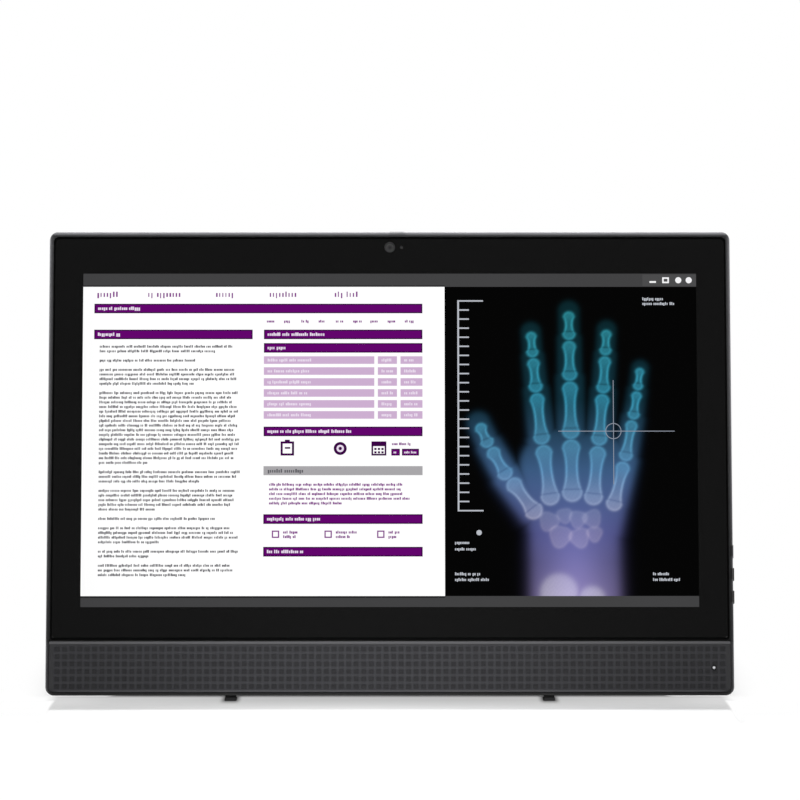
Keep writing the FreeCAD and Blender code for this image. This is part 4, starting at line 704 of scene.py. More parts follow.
def cover_glass():
    """The front glass: a chamfered plate with openings for the picture and the camera."""
    front = glass_low.y
    thick = glass_high.y - glass_low.y
    bm = bmesh.new()
    outer = glass_outline(bm, LIP_WIDTH - LIP_LAP + GLASS_SIDE_GAP, GLASS_TOP_GAP, GLASS_BOTTOM_GAP,
                          front + GLASS_CHAMFER)
    front_loop = loop_swept(bm, outer, (0, -GLASS_CHAMFER, 0), GLASS_CHAMFER)
    back_loop = loop_swept(bm, outer, (0, thick - GLASS_CHAMFER, 0))
    picture = rounded_face(bm, screen_left, screen_right, screen_bottom, screen_top, front,
                           SHARP_CORNER, SHARP_CORNER, 1)
    openings = [outline_edges(bm, picture),
                circle_edges(bm, 0.0, front, camera_z, CAMERA_WINDOW_RADIUS),
                circle_edges(bm, camera_light_x, front, camera_z, CAMERA_LIGHT_RADIUS, 24)]
    front_edges = list(front_loop)
    back_edges = list(back_loop)
    for opening in openings:
        front_edges += opening
        back_edges += loop_swept(bm, opening, (0, thick, 0))
    bmesh.ops.triangle_fill(bm, edges=front_edges, use_beauty=True)
    bmesh.ops.triangle_fill(bm, edges=back_edges, use_beauty=True)
    glass = put_in_row(bm, "front_glass", [SLOT_FINISHES["cover_glass"]])
    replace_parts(glass, "cover_glass")


def camera_window():
    """Clear glass in the two openings over the camera, flush with the front."""
    bm = bmesh.new()
    for x, radius in ((0.0, CAMERA_WINDOW_RADIUS), (camera_light_x, CAMERA_LIGHT_RADIUS)):
        disc(bm, x, camera_z, radius - CAMERA_WINDOW_GAP, glass_low.y + CAMERA_WINDOW_GAP,
             glass_low.y + CAMERA_WINDOW_DEPTH)
    put_in_row(bm, "camera_window", [clear_window()])


# ---- speaker grille --------------------------------------------------------------------------------
def lattice_ribs():
    """The ribs between the dimples, with painted light: lightest where two cross, and painted shade
    towards the dimples.
    """
    finish = Finish("grille ribs", tone(51, 51, 54), 0.5, specular=0.3)
    x, _, z = finish.axes()
    rise = z - (grille_low.z + GRILLE_BOTTOM_BORDER)
    # painted shade on the ribs towards each dimple, and painted light where two ribs cross
    column = abs(x.in_cell(GRILLE_PITCH)).ramp(*DIMPLE_SHADE, 1.0, 0.0)
    row = abs(rise.in_cell(GRILLE_PITCH)).ramp(*DIMPLE_SHADE, 1.0, 0.0)
    painted_rib_shade = (column + row) * -0.22 + 1.15
    grain = finish.noise(0.84, detail=4).ramp(0.2, 0.8, 0.92, 1.08)
    finish.tint(painted_rib_shade * grain, 1.3)
    finish.vary_roughness(finish.noise(30.0, detail=3), 0.45, 0.55)
    return finish.relief(finish.grains(0.35).ramp(0.0, 0.7), 0.015).material


def dimple_floor():
    """The floors of the dimples, a little darker and rougher than the ribs."""
    return spark_eroded("grille dimples", tone(37, 37, 39), 0.7, 0.35, 0.015, 0.3)


def grille_border():
    """The plain border and the chamfer over it, with painted highlights: lightest on the chamfer and along
    the foot.
    """
    finish = Finish("grille border", tone(68, 68, 71), 0.42)
    x, _, z = finish.axes()
    chamfer_foot = grille_high.z - GRILLE_TOP_GAP - GRILLE_BEVEL
    # painted highlight on the chamfer and along the foot, fading near the ends
    foot = z.ramp(3.4, 4.6, 1.0, 0.0) * abs(x).ramp(body_high.x - 12.0, body_high.x - 5.0, 1.0, 0.0)
    light = z.ramp(chamfer_foot - 0.5, chamfer_foot + 0.3).most(foot.ramp(0.0, 1.0, 0.45, 1.0))
    grain = finish.noise(0.6, detail=4).ramp(0.2, 0.8, 0.9, 1.1)
    finish.tint(light * grain, 1.25)
    finish.vary_roughness(finish.noise(30.0, detail=3), 0.38, 0.46)
    return finish.relief(finish.grains(0.3).ramp(0.0, 0.7), 0.008).material


def speaker_grille():
    """The bar below the glass: a plain border round a lattice of square dimples."""
    half = GRILLE_COLUMNS * GRILLE_PITCH / 2
    height = GRILLE_ROWS * GRILLE_PITCH
    low = grille_low.z + GRILLE_BOTTOM_BORDER
    top = grille_high.z - GRILLE_TOP_GAP
    front = grille_low.y
    bm = bmesh.new()
    place = facing_front(0, front + GRILLE_BORDER_LIFT, low + height / 2)
    place @= Matrix.Diagonal((2 * half, height, 1, 1))
    bmesh.ops.create_grid(bm, x_segments=GRILLE_COLUMNS, y_segments=GRILLE_ROWS, size=0.5, matrix=place)
    cells = list(bm.faces)
    bmesh.ops.inset_individual(bm, faces=cells, thickness=GRILLE_RIB / 2, depth=0.0)
    bmesh.ops.inset_individual(bm, faces=cells, thickness=GRILLE_DIMPLE_DRAFT, depth=0.0)
    for face in cells:
        face.material_index = 1
    floors = list(dict.fromkeys(v for face in cells for v in face.verts))
    bmesh.ops.translate(bm, verts=floors, vec=(0, GRILLE_DIMPLE_DEPTH, 0))

    lattice_edge = [edge for edge in bm.edges if edge.is_boundary]
    border = loop_swept(bm, lattice_edge, (0, -GRILLE_BORDER_LIFT, 0), -GRILLE_BORDER_LIFT)
    outer = outline_edges(bm, rounded_face(bm, grille_low.x, grille_high.x, grille_low.z, top, front,
                                           GRILLE_TOP_RADIUS, GRILLE_BOTTOM_RADIUS))
    bmesh.ops.triangle_fill(bm, edges=outer + border, use_beauty=True)
    back = loop_swept(bm, outer, (0, grille_high.y - front, 0))
    bmesh.ops.triangle_fill(bm, edges=back, use_beauty=True)
    cut = bmesh.ops.bisect_plane(bm, geom=list(bm.verts) + list(bm.edges) + list(bm.faces),
                                 plane_co=(0, front, top - GRILLE_BEVEL), clear_outer=True,
                                 plane_no=(0, -GRILLE_BEVEL, GRILLE_BEVEL_DEPTH))
    open_edges = [item for item in cut["geom_cut"] if isinstance(item, bmesh.types.BMEdge)]
    bmesh.ops.triangle_fill(bm, edges=open_edges, use_beauty=True)
    for face in bm.faces:
        middle = face.calc_center_median()
        inside = abs(middle.x) < half and low < middle.z < low + height
        if not inside and middle.y < grille_high.y - 0.1:
            face.material_index = 2
    grille = put_in_row(bm, "grille_lattice", [lattice_ribs(), dimple_floor(), grille_border()])
    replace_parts(grille, "speaker_grille")


def power_light():
    """A clear lens in a dark ring, let into the lattice near its right end."""
    front = grille_low.y
    back = front + GRILLE_DIMPLE_DEPTH + LIGHT_SEAT
    bm = bmesh.new()
    disc(bm, lamp_x, lamp_z, LIGHT_RADIUS, front + LIGHT_SINK, back, 24)
    lens = put_in_row(bm, "power_light", [SLOT_FINISHES["light_lens"]])
    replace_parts(lens, "power_light_lens")
    bm = bmesh.new()
    disc(bm, lamp_x, lamp_z, LIGHT_RING_RADIUS, front + LIGHT_RING_SINK, back, 32)
    put_in_row(bm, "power_light_ring", [SLOT_FINISHES["jack_plastic"]])


def blank_key():
    """A blank cap in the place of a third key on the right side."""
    flange = Vector((0.0, KEY_FLANGE, KEY_FLANGE))
    low = Vector((body_high.x - KEY_ROOT, up_low.y, 2 * up_low.z - down_low.z)) + flange
    high = Vector((body_high.x + KEY_PROUD, up_high.y, 2 * up_high.z - down_high.z)) - flange
    bm = bmesh.new()
    box(bm, low.x, high.x, low.y, high.y, low.z, high.z)
    bmesh.ops.bevel(bm, geom=list(bm.edges), offset=KEY_EDGE, segments=3, affect="EDGES", profile=0.5)
    put_in_row(bm, "blank_key", [SLOT_FINISHES["button_plastic"]])


# ---- the picture on the screen ---------------------------------------------------------------------
def display_finish(name, colour=None, strength=1.0, attribute=None):
    """A lit area of the display: black, glossy, and giving off a colour or an attribute's colours."""
    finish = Finish(name, (0.0, 0.0, 0.0), roughness=0.07, specular=0.2)
    across = finish.axes()[0]
    cloud = finish.noise(90.0, detail=1).ramp(0.2, 0.8, 0.975, 1.0)
    edge = abs(across).ramp(190.0, SCREEN_WIDTH / 2, 1.0, 0.975)
    if attribute:
        node = finish.tree.nodes.new("ShaderNodeAttribute")
        node.attribute_name = attribute
        colour = node.outputs["Color"]
    return finish.glow(finish.scaled(colour, cloud * edge), strength).material


def picture_front(layer):
    """Where the front of a layer of the picture lies."""
    return glass_low.y + PICTURE_SINK - LAYER * layer


class Tiles:
    """Thin closed tiles of one colour. Places are counted from the top left corner of the screen."""

    def __init__(self, name, colour, strength=1.0):
        self.bm = bmesh.new()
        self.name = name
        self.material = display_finish(name.replace("_", " "), colour, strength)

    def add(self, left, top, width, height, layer):
        """A rectangle."""
        front = picture_front(layer)
        x = screen_left + left
        z = screen_top - top
        box(self.bm, x, x + width, front, front + TILE_DEPTH, z - height, z)

    def ring(self, left, top, width, height, line, layer):
        """A rectangle drawn with a line."""
        self.add(left, top, width, line, layer)
        self.add(left, top + height - line, width, line, layer)
        self.add(left, top + line, line, height - 2 * line, layer)
        self.add(left + width - line, top + line, line, height - 2 * line, layer)

    def round(self, left, top, radius, layer):
        """A round spot about a middle."""
        front = picture_front(layer)
        disc(self.bm, screen_left + left, screen_top - top, radius, front, front + TILE_DEPTH, 28)

    def words(self, chance, left, top, width, height, layer, longest=9, thin=0.6, thick=0.9):
        """A line of made-up words: strokes of letter size with spaces between the words."""
        pitch = height * STROKE_PITCH
        at = left
        while at < left + width - 2 * pitch:
            for _ in range(chance.randint(2, longest)):
                if at > left + width - pitch:
                    break
                kind = chance.random()
                rise = height if kind > 1 - TALL_STROKES else height * SHORT_STROKE
                drop = height * STROKE_DROP if kind < DROPPED_STROKES else 0.0
                stroke = pitch * chance.uniform(thin, thick)
                self.add(at, top + height - rise, stroke, rise + drop, layer)
                at += pitch
            at += pitch * WORD_SPACE

    def place(self):
        """Makes the tiles one piece of the display."""
        return put_in_row(self.bm, self.name, [self.material], fresh_normals=False)


class Sheet:
    """The document on the left of the screen, with one set of tiles to each of its colours."""

    def __init__(self, seed):
        self.chance = random.Random(seed)
        self.page = Tiles("display_page", tone(255), 1.03)
        self.bars = Tiles("display_bars", tone(58, 0, 68))
        self.middles = Tiles("display_bar_middles", tone(98, 0, 108))
        self.labels = Tiles("display_labels", tone(236, 222, 240))
        self.rows = Tiles("display_rows", tone(206, 176, 210))
        self.greys = Tiles("display_greys", tone(170, 168, 171))
        self.text = Tiles("display_text", tone(98, 97, 102))
        self.notes = Tiles("display_notes", tone(132, 60, 140))

    def heading(self, left, top, width, label):
        """A purple bar with a lighter middle and a bold label."""
        self.bars.add(left, top, width, BAR_HEIGHT, 1)
        self.middles.add(left + BAR_RIM, top + BAR_RIM, width - 2 * BAR_RIM, BAR_HEIGHT - 2 * BAR_RIM, 2)
        self.labels.words(self.chance, left + LABEL_INSET, top + 2.1, label, 2.3, 3)

    def place(self):
        """Makes each set of tiles a piece."""
        for tiles in (self.page, self.bars, self.middles, self.labels, self.rows, self.greys,
                      self.text, self.notes):
            tiles.place()


def menu(sheet):
    """The line of menu words, the heading below it and its row of short notes."""
    for left, width in ((10, 17), (46, 26), (94, 14), (132, 22), (178, 19)):
        sheet.notes.words(sheet.chance, left, 12.8, width, 3.8, 1, longest=12, thin=0.3, thick=0.55)
    sheet.heading(FIRST_COLUMN, 21.5, SECOND_COLUMN + COLUMN_WIDTH - FIRST_COLUMN, 30.0)
    for month in range(9):
        sheet.notes.words(sheet.chance, SECOND_COLUMN + 2.0 + month * 12.2, 33.0, 7.0, 1.9, 1, longest=5)


def running_text(sheet):
    """The first column: a heading over paragraphs of grey text."""
    sheet.heading(FIRST_COLUMN, COLUMN_TOP, COLUMN_WIDTH, 16.0)
    top = COLUMN_TOP + 11.0
    for lines in PARAGRAPHS:
        for line in range(lines):
            last = line == lines - 1
            share = sheet.chance.uniform(0.3, 0.8) if last else sheet.chance.uniform(0.9, 0.97)
            sheet.text.words(sheet.chance, FIRST_COLUMN + TEXT_INSET, top,
                             (COLUMN_WIDTH - 2 * TEXT_INSET) * share, TEXT_HEIGHT, 1)
            top += LINE_PITCH
        top += LINE_PITCH


def table(sheet):
    """The top of the second column: two headings over six rows of three cells."""
    sheet.heading(SECOND_COLUMN, COLUMN_TOP, COLUMN_WIDTH, 44.0)
    sheet.heading(SECOND_COLUMN, COLUMN_TOP + 9.6, COLUMN_WIDTH, 14.0)
    for row in range(6):
        top = COLUMN_TOP + 19.0 + row * ROW_PITCH
        for left, width, label in ((0.0, 78.0, 0.4), (80.5, 13.5, 0.62), (96.5, 15.5, 0.62)):
            sheet.rows.add(SECOND_COLUMN + left, top, width, ROW_HEIGHT, 1)
            sheet.labels.words(sheet.chance, SECOND_COLUMN + left + LABEL_INSET, top + 1.6,
                               width * label, 2.1, 2)


def signs(sheet):
    """A heading over a row of small signs: a sheet, a ring, a month leaf and two buttons."""
    sheet.heading(SECOND_COLUMN, 109.0, COLUMN_WIDTH, 60.0)
    top = 119.5
    left = SECOND_COLUMN + 12.0
    bars = sheet.bars
    bars.ring(left, top, 9.5, SIGN_HEIGHT, 1.5, 1)
    bars.add(left + 3.0, top - 1.2, 3.5, 2.0, 2)
    bars.add(left + 3.0, top + 4.0, 3.8, 1.2, 2)
    left += 42.0
    for tiles, radius, layer in ((bars, 4.6, 1), (sheet.labels, 2.6, 2), (bars, 1.2, 3)):
        tiles.round(left, top + SIGN_HEIGHT / 2, radius, layer)
    left += 22.0
    bars.ring(left, top, 10.5, SIGN_HEIGHT, 1.2, 1)
    bars.add(left, top, 10.5, 3.4, 1.5)
    for column in range(3):
        for line in range(2):
            bars.add(left + 2.0 + column * 2.5, top + 4.6 + line * 2.4, 1.6, 1.5, 1)
    left += 14.0
    for offset, width in ((0.0, 6.0), (7.5, 12.0)):
        bars.add(left + offset, top + 5.2, width, 4.8, 1)
        sheet.middles.add(left + offset + 0.7, top + 5.9, width - 1.4, 3.4, 2)
        sheet.labels.words(sheet.chance, left + offset + 1.6, top + 6.8, width - 3.0, 1.7, 3)
    sheet.notes.words(sheet.chance, left + 0.5, top + 0.8, 14.0, 1.8, 1)


def remarks(sheet):
    """A grey bar with its label, over a paragraph of purple text."""
    sheet.greys.add(SECOND_COLUMN, 137.0, COLUMN_WIDTH, BAR_HEIGHT - 0.4, 1)
    sheet.text.words(sheet.chance, SECOND_COLUMN + 3.0, 139.0, 27.0, 2.6, 2)
    for line in range(5):
        share = 0.5 if line == 4 else sheet.chance.uniform(0.88, 0.96)
        sheet.notes.words(sheet.chance, SECOND_COLUMN + TEXT_INSET, 149.0 + line * LINE_PITCH,
                          (COLUMN_WIDTH - 2 * TEXT_INSET) * share, TEXT_HEIGHT, 1)


def choices(sheet):
    """Two headings, with three boxes to tick between them."""
    sheet.heading(SECOND_COLUMN, 171.0, COLUMN_WIDTH, 38.0)
    for column, width in enumerate((12.0, 15.0, 11.0)):
        left = SECOND_COLUMN + 6.0 + column * 37.0
        sheet.notes.ring(left, 182.5, 5.2, 5.2, 0.9, 1)
        sheet.notes.words(sheet.chance, left + 8.0, 182.6, width, 2.0, 1)
        sheet.notes.words(sheet.chance, left + 8.0, 185.8, width * 0.8, 2.0, 1)
    sheet.heading(SECOND_COLUMN, 194.0, COLUMN_WIDTH, 26.0)


def document():
    """The page on the left of the screen, of two columns below a menu."""
    sheet = Sheet(seed=19)
    sheet.page.add(0.0, TOOLBAR_HEIGHT, PAGE_WIDTH, PICTURE_HEIGHT, 0.5)
    for part in (menu, running_text, table, signs, remarks, choices):
        part(sheet)
    sheet.place()


def screen_frame():
    """The ground of the screen, the bars above and below the picture, and the signs in the upper one."""
    ground = Tiles("display_ground", tone(3, 3, 4))
    box(ground.bm, screen_left, screen_right, picture_front(0), glass_high.y, screen_bottom, screen_top)
    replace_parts(ground.place(), "cover_glass")
    toolbars = Tiles("display_toolbars", tone(66, 66, 67))
    lines = Tiles("display_lines", tone(26, 26, 27))
    light = Tiles("display_toolbar_end", tone(76, 76, 77))
    white = Tiles("display_signs", tone(246, 246, 248))
    bottom = SCREEN_HEIGHT - STATUS_BAR_HEIGHT
    toolbars.add(0.0, 0.0, SCREEN_WIDTH, TOOLBAR_HEIGHT, 1)
    toolbars.add(0.0, bottom, SCREEN_WIDTH, STATUS_BAR_HEIGHT, 1)
    lines.add(0.0, TOOLBAR_HEIGHT - 0.9, PAGE_WIDTH, 0.9, 2)
    lines.add(0.0, bottom, PAGE_WIDTH, 1.2, 2)
    light.add(SCREEN_WIDTH - 38.0, 0.6, 38.0, TOOLBAR_HEIGHT - 1.2, 2)
    middle = TOOLBAR_HEIGHT / 2
    white.add(SCREEN_WIDTH - 33.0, middle + 0.6, 4.6, 1.3, 3)
    white.ring(SCREEN_WIDTH - 24.0, middle - 2.1, 4.8, 4.2, 1.1, 3)
    white.round(SCREEN_WIDTH - 12.6, middle, 2.2, 3)
    white.round(SCREEN_WIDTH - 5.2, middle, 2.2, 3)
    for part in (toolbars, lines, light, white):
        part.place()


def along_bone(across, down, start, end):
    """How far each place is from a bone's axis, in millimetres, and its share of the way along it."""
    run = (end[0] - start[0], end[1] - start[1])
    share = ((across - start[0]) * run[0] + (down - start[1]) * run[1]) / (run[0] ** 2 + run[1] ** 2)
    share = np.clip(share, 0.0, 1.0)
    return np.hypot(across - start[0] - share * run[0], down - start[1] - share * run[1]), share


HAND = (       # where each ray of the hand starts, its turn, its bones' lengths and their radius
    ((-27.0, 168.0), -37.0, (32.0, 24.0, 17.0), 6.6),
    ((-15.0, 158.0), -8.0, (41.0, 35.0, 23.0, 17.0), 6.7),
    ((0.5, 155.0), -1.0, (42.0, 39.0, 27.0, 19.0), 7.2),
    ((15.5, 158.0), 6.0, (40.0, 35.0, 25.0, 17.0), 6.6),
    ((30.0, 163.0), 14.0, (34.0, 28.0, 19.0, 15.0), 5.7),
)
WRIST = (      # the middle of each small bone of the wrist, its radius and its turn
    (-16.0, 176.0, 7.0, 0.4),
    (-5.0, 172.0, 5.6, 2.1),
    (4.5, 174.5, 6.4, 1.1),
    (14.5, 174.0, 6.6, 3.0),
    (-8.0, 186.5, 8.0, 0.9),
    (5.5, 187.5, 7.2, 2.6),
    (16.0, 185.0, 5.6, 1.7),
)
FOREARM = (((-9.0, 226.0), (-10.0, 246.0), 13.0), ((14.0, 231.0), (15.0, 246.0), 9.0))
PALM = (((-9.0, 138.0), (-3.0, 178.0)), ((16.0, 140.0), (8.0, 178.0)))
PALM_RADIUS = 27.0
ARM = ((2.0, 186.0), (3.0, 246.0))
ARM_RADIUS = 31.0
WAIST = 0.66                # a shaft's width in its middle, as a share of its heads'
FLESH = 1.55                # a finger's width, as a share of its bones'
JOINT_GAP = 1.4             # between the bones of a ray
NEXT_RADIUS = 0.86          # of a ray's next bone, as a share of the last one's
NEXT_TURN = 0.8


def falling(away, softness):
    """1 inside an outline and 0 outside it, with a soft edge."""
    return 1 / (1 + np.exp(away / softness))


def line(away, width):
    """A soft bright line that is 1 where away is 0."""
    return np.exp(-(away / width) ** 2)


def bone_light(away, share, length):
    """A long bone's light: pale heads, a darker shaft between two bright walls, and a growth plate."""
    shaft = np.sin(np.pi * share)
    wall = (0.2 + 0.32 * shaft) * line(away + 1.0, 0.75)
    plate = 1 - 0.5 * line(share * length - 1.6, 0.7)
    return (0.46 - 0.16 * shaft) * plate * falling(away, 0.4) + wall


def rays(across, down):
    """The light of the long bones, and how far each place is outside the fingers' flesh."""
    bones = np.zeros_like(across)
    flesh = np.full_like(across, 99.0)
    for (x, y), turn, lengths, radius in HAND:
        for length in lengths:
            heading_x = math.sin(math.radians(turn))
            heading_y = -math.cos(math.radians(turn))
            shaft = length - 1.6 * radius
            end = (x + heading_x * shaft, y + heading_y * shaft)
            away, share = along_bone(across, down, (x, y), end)
            width = radius * (WAIST + (1 - WAIST) * abs(2 * share - 1) ** 2.4) * (1.04 - 0.12 * share)
            bones = np.maximum(bones, bone_light(away - width, share, shaft))
            tip = (x + heading_x * (length - 3.0), y + heading_y * (length - 3.0))
            flesh = np.minimum(flesh, along_bone(across, down, (x, y), tip)[0] - radius * FLESH)
            x += heading_x * (length + JOINT_GAP)
            y += heading_y * (length + JOINT_GAP)
            radius *= NEXT_RADIUS
            turn *= NEXT_TURN
    return bones, flesh


def scan_light(across, down):
    """The radiograph's haze of flesh and the light of its bones, both from 0 to 1."""
    bones, flesh = rays(across, down)
    for x, y, radius, turn in WRIST:
        angle = np.arctan2(down - y, across - x)
        away = np.hypot(across - x, down - y) - radius * (1 + 0.1 * np.cos(3 * angle + turn))
        bones = bones + 0.2 * falling(away, 0.5) + 0.05 * line(away + 0.9, 0.8)
    for start, end, radius in FOREARM:
        away = along_bone(across, down, start, end)[0] - radius
        bones = np.maximum(bones, 0.34 * falling(away, 1.1))
    grain = np.sin(across * 2.3 + np.sin(down * 0.9)) * np.sin(down * 1.9 + np.sin(across * 1.1))

    for start, end in PALM:
        flesh = np.minimum(flesh, along_bone(across, down, start, end)[0] - PALM_RADIUS)
    flesh = np.minimum(flesh, along_bone(across, down, *ARM)[0] - ARM_RADIUS)
    softness = np.interp(down, (60.0, 130.0, 200.0), (0.9, 1.3, 2.2))
    haze = np.interp(down, (30.0, 90.0, 115.0, 140.0, 165.0, 190.0, 225.0),
                     (0.11, 0.16, 0.26, 0.4, 0.5, 0.62, 0.76))
    sides = 0.55 * np.interp(down, (150.0, 205.0), (0.0, 1.0))
    haze = haze * (1 - sides * (1 - line(across - 2.0, 21.0)))
    return haze * falling(flesh, softness), bones * (1 + 0.08 * grain)


def radiograph():
    """The picture right of the page: a hand, teal at the finger tips and pale violet at the wrist."""
    width = SCREEN_WIDTH - PAGE_WIDTH
    middle_x = screen_right - width / 2
    middle_z = screen_top - TOOLBAR_HEIGHT - PICTURE_HEIGHT / 2
    place = facing_front(middle_x, picture_front(1), middle_z)
    place @= Matrix.Diagonal((width, PICTURE_HEIGHT, 1, 1))
    bm = bmesh.new()
    bmesh.ops.create_grid(bm, x_segments=round(width / SCAN_CELL),
                          y_segments=round(PICTURE_HEIGHT / SCAN_CELL), size=0.5, matrix=place)
    rim = [edge for edge in bm.edges if edge.is_boundary]
    back = loop_swept(bm, rim, (0, TILE_DEPTH, 0))
    bmesh.ops.triangle_fill(bm, edges=back, use_beauty=False)
    finish = display_finish("radiograph", attribute="glow")
    picture = put_in_row(bm, "display_radiograph", [finish])

    places = np.array([TO_UPRIGHT @ v.co for v in picture.data.vertices])
    across = places[:, 0] - middle_x
    down = screen_top - places[:, 2]
    haze, bones = scan_light(across, down)
    stops = (       # how far down, the colour of the flesh and the colour of the bones
        (20.0, tone(36, 118, 132), tone(52, 164, 176)),
        (90.0, tone(44, 112, 138), tone(62, 166, 198)),
        (140.0, tone(92, 138, 196), tone(92, 148, 180)),
        (185.0, tone(124, 129, 206), tone(184, 170, 166)),
        (232.0, tone(162, 148, 206), tone(220, 222, 212)),
    )
    levels = [level for level, soft, hard in stops]
    colours = np.ones((len(across), 4), dtype=np.float32)
    for channel in range(3):
        low = np.interp(down, levels, [soft[channel] for level, soft, hard in stops])
        high = np.interp(down, levels, [hard[channel] for level, soft, hard in stops])
        colours[:, channel] = low * haze + high * bones * 0.9
    glow = picture.data.attributes.new("glow", "FLOAT_COLOR", "POINT")
    glow.data.foreach_set("color", colours.ravel())


RULER_TOP = 19.0
RULER_LENGTH = 150.0
RULER_LINE = 1.2
RULER_TICKS = 24
HAIR_X = 118.9              # the middle of the cross hair, from the page's right edge
HAIR_TOP = 112.2
HAIR_LINE = 0.5
HAIR_RADIUS = 5.4
HAIR_DOT = 0.6
HAIR_DOTS = 48              # round its ring


def cross_hair():
    """Two crossed lines and a ring of small dots."""
    hair = Tiles("display_cross_hair", tone(146, 153, 166))
    hair.add(PAGE_WIDTH + 80.0, HAIR_TOP - 0.2, 82.0, HAIR_LINE, 3)
    hair.add(PAGE_WIDTH + HAIR_X - 0.2, 76.0, HAIR_LINE, 74.0, 3)
    for turn in range(HAIR_DOTS):
        angle = turn * math.tau / HAIR_DOTS
        hair.add(PAGE_WIDTH + HAIR_X - HAIR_DOT / 2 + HAIR_RADIUS * math.cos(angle),
                 HAIR_TOP - HAIR_DOT / 2 + HAIR_RADIUS * math.sin(angle), HAIR_DOT, HAIR_DOT, 3)
    hair.place()


def scan_marks():
    """A ruler beside the hand, and short notes in the corners."""
    chance = random.Random(7)
    fine = Tiles("display_scan_marks", tone(186, 190, 198))
    left = PAGE_WIDTH + 9.0
    fine.add(left, RULER_TOP, RULER_LINE, RULER_LENGTH, 3)
    for tick in range(RULER_TICKS):
        top = RULER_TOP + tick * (RULER_LENGTH - 1.0) / (RULER_TICKS - 1)
        fine.add(left + RULER_LINE, top, 17.0 if tick in (0, RULER_TICKS - 1) else 7.0, 1.0, 3)
    for across, down, width in ((140.0, 17.0, 18.0), (140.0, 20.4, 24.0), (7.0, 190.0, 12.0),
                                (7.0, 194.5, 16.0), (7.0, 212.0, 20.0), (7.0, 216.0, 24.0),
                                (146.0, 212.0, 14.0), (146.0, 216.0, 20.0)):
        fine.words(chance, PAGE_WIDTH + across, down, width, 2.0, 3)
    fine.round(PAGE_WIDTH + 24.0, 184.0, 1.9, 3)
    fine.place()


# ---- studio ----------------------------------------------------------------------------------------
# Sizes and places in the studio are in metres, from the point on the floor under the object's middle.
CAMERA_DISTANCE = 2.7475
CAMERA_RISE = math.radians(3.182)
CAMERA_TURN = math.radians(0.172)
CAMERA_AIM = Vector((0.00729, 0.0, 0.20695))
CAMERA_LENS = 173.05
SUN_RISE = math.radians(72.8)
ROOM_LIGHT = 0.36           # the room's even light on what it falls on
FOOT_X = 0.1117             # of each front foot
FLOOR_SHADE = 0.63          # brightness of the floor's shade below the body


def camera():
    """A long lens in front of the object, a little above it."""
    view = bpy.data.cameras.new("camera")
    view.lens = CAMERA_LENS
    view.sensor_width = 36.0
    view.clip_start = 0.05
    view.clip_end = 100.0
    eye = bpy.data.objects.new("camera", view)
    scene.collection.objects.link(eye)
    look = Vector((math.sin(CAMERA_TURN) * math.cos(CAMERA_RISE),
                   math.cos(CAMERA_TURN) * math.cos(CAMERA_RISE), -math.sin(CAMERA_RISE)))
    eye.location = CAMERA_AIM - look * CAMERA_DISTANCE
    eye.rotation_euler = look.to_track_quat("-Z", "Y").to_euler()
    scene.camera = eye


def lamp(name, kind, place, aim, energy, mirrored=False, **settings):
    """A light that points from its place at its aim, and shows in reflections only if mirrored."""
    light = bpy.data.lights.new(name, kind)
    light.energy = energy
    for key, value in settings.items():
        setattr(light, key, value)
    holder = bpy.data.objects.new(name, light)
    holder.location = place
    holder.rotation_euler = (Vector(aim) - Vector(place)).to_track_quat("-Z", "Y").to_euler()
    holder.visible_glossy = mirrored
    scene.collection.objects.link(holder)


def world():
    """A white room for the camera, a soft even light on what it shows, and a dim front for reflections."""
    sky = bpy.data.worlds.new("studio")
    sky.use_nodes = True
    scene.world = sky
    tree = sky.node_tree
    out = tree.nodes["Background"]
    ray = tree.nodes.new("ShaderNodeLightPath")
    place = tree.nodes.new("ShaderNodeTexCoord")
    split = tree.nodes.new("ShaderNodeSeparateXYZ")
    tree.links.new(place.outputs["Generated"], split.inputs[0])
    behind = Field(tree, split.outputs["Y"]).ramp(-0.25, 0.35, 0.10, 1.0)
    above = Field(tree, split.outputs["Z"]).ramp(0.55, 0.95, 0.0, 0.9)
    diffuse = Field(tree, ray.outputs["Is Diffuse Ray"])
    direct = Field(tree, ray.outputs["Is Camera Ray"])
    level = diffuse * ROOM_LIGHT + diffuse.rest() * behind.most(above)
    level = direct.most(level * direct.rest())
    tree.links.new(level.socket, out.inputs["Color"])


def floor_brightness(x, y, beside):
    """How bright the floor is where it gives off its own light: white, or a painted shadow near the body.
    """
    # white past the sides, behind the body and well in front of it, and a painted shadow between
    white = abs(x).ramp(0.226, 0.246).most(y.ramp(-0.03, 0.1)).most(y.ramp(-0.3, -0.2, 1.0, 0.0))
    level = white.most(beside).ramp(0.0, 1.0, FLOOR_SHADE, 1.0)
    level = level.most(abs(x).ramp(0.19, 0.23, FLOOR_SHADE, 0.71))
    # the painted shadow deeper below the middle and round each foot
    middle = abs(x).ramp(0.05, 0.22, 0.09, 0.0) * y.ramp(-0.2, -0.13)
    painted_foot_shadow = abs(abs(x) - FOOT_X).ramp(0.003, 0.0085, 0.5, 0.0) * y.ramp(-0.088, -0.062)
    return level - (middle + painted_foot_shadow) * y.ramp(-0.03, 0.1, 1.0, 0.0)


def own_light_share(x, y, beside):
    """1 where the floor gives off its own light: far away, past the sides, and under the body's foot,
    where it shows painted light and shade.
    """
    aside = (abs(x).ramp(0.238, 0.272) * y.ramp(-0.06, -0.02)).most(beside)
    far = distance(x * 0.8, y).ramp(0.30, 0.62).most(aside)
    below = y.ramp(-0.13, -0.058, 0.0, 0.95) * y.ramp(-0.052, -0.038, 1.0, 0.0)
    return far.most(below)


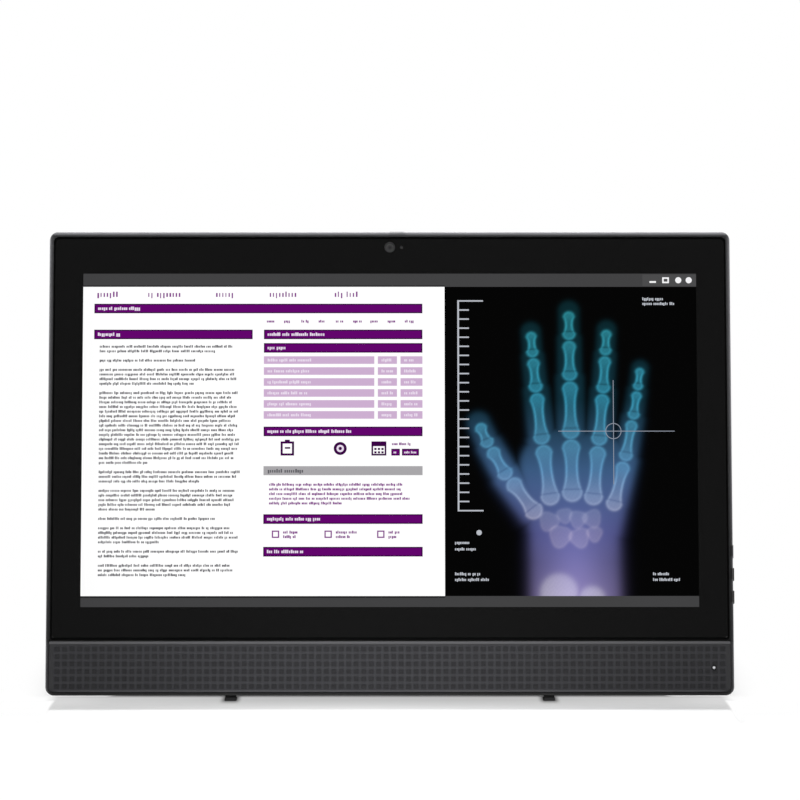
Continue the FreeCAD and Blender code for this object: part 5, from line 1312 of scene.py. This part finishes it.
def floor():
    """A pale floor that keeps the rendered shadow near the feet, mixed with a painted shadow, and is plain
    white further off.
    """
    bm = bmesh.new()
    bmesh.ops.create_grid(bm, x_segments=1, y_segments=1, size=30.0)
    mesh = bpy.data.meshes.new("floor")
    bm.to_mesh(mesh)
    bm.free()
    plane = bpy.data.objects.new("floor", mesh)
    plane.location.z = -0.0002
    scene.collection.objects.link(plane)
    material = bpy.data.materials.new("floor")
    material.use_nodes = True
    tree = material.node_tree
    shader = tree.nodes["Principled BSDF"]
    shader.inputs["Base Color"].default_value = (0.98, 0.98, 0.98, 1.0)
    shader.inputs["Roughness"].default_value = 0.9
    shader.inputs["Specular IOR Level"].default_value = 0.1
    place = tree.nodes.new("ShaderNodeTexCoord")
    split = tree.nodes.new("ShaderNodeSeparateXYZ")
    tree.links.new(place.outputs["Object"], split.inputs[0])
    x = Field(tree, split.outputs["X"])
    y = Field(tree, split.outputs["Y"])
    in_front = y.ramp(-0.07, -0.055, 1.0, 0.0) * y.ramp(-0.22, -0.14)
    beside = abs(x).ramp(0.2325, 0.2365) * in_front         # the floor beyond the body's two corners
    ray = tree.nodes.new("ShaderNodeLightPath")
    share = own_light_share(x, y, beside) * Field(tree, ray.outputs["Is Camera Ray"])
    own_light = tree.nodes.new("ShaderNodeEmission")
    tree.links.new(floor_brightness(x, y, beside).socket, own_light.inputs["Strength"])
    mix = tree.nodes.new("ShaderNodeMixShader")
    tree.links.new(share.socket, mix.inputs[0])
    tree.links.new(shader.outputs[0], mix.inputs[1])
    tree.links.new(own_light.outputs[0], mix.inputs[2])
    tree.links.new(mix.outputs[0], tree.nodes["Material Output"].inputs["Surface"])
    mesh.materials.append(material)


def studio():
    """The camera, the room, the floor and three lights."""
    camera()
    world()
    floor()
    lamp("key", "AREA", (0.0, -0.9, 1.5), (0.0, 0.0, 0.16), 10.0, mirrored=True, shape="RECTANGLE",
         size=1.2, size_y=0.6)
    lamp("lower glow", "SPOT", (0.0, -1.3, 0.55), (0.0, -0.06, 0.03), 50.0, spot_size=math.radians(20),
         spot_blend=1.0, shadow_soft_size=0.1)
    lamp("sun", "SUN", (0.0, math.cos(SUN_RISE), math.sin(SUN_RISE)), (0.0, 0.0, 0.0), 1.7,
         mirrored=True, angle=math.radians(2.5))
    scene.view_settings.view_transform = "Standard"


dress_cad_nodes()
cover_glass()
camera_window()
glass_seat()
speaker_grille()
power_light()
blank_key()
screen_frame()
document()
radiograph()
cross_hair()
scan_marks()
studio()

bpy.context.view_layer.update()
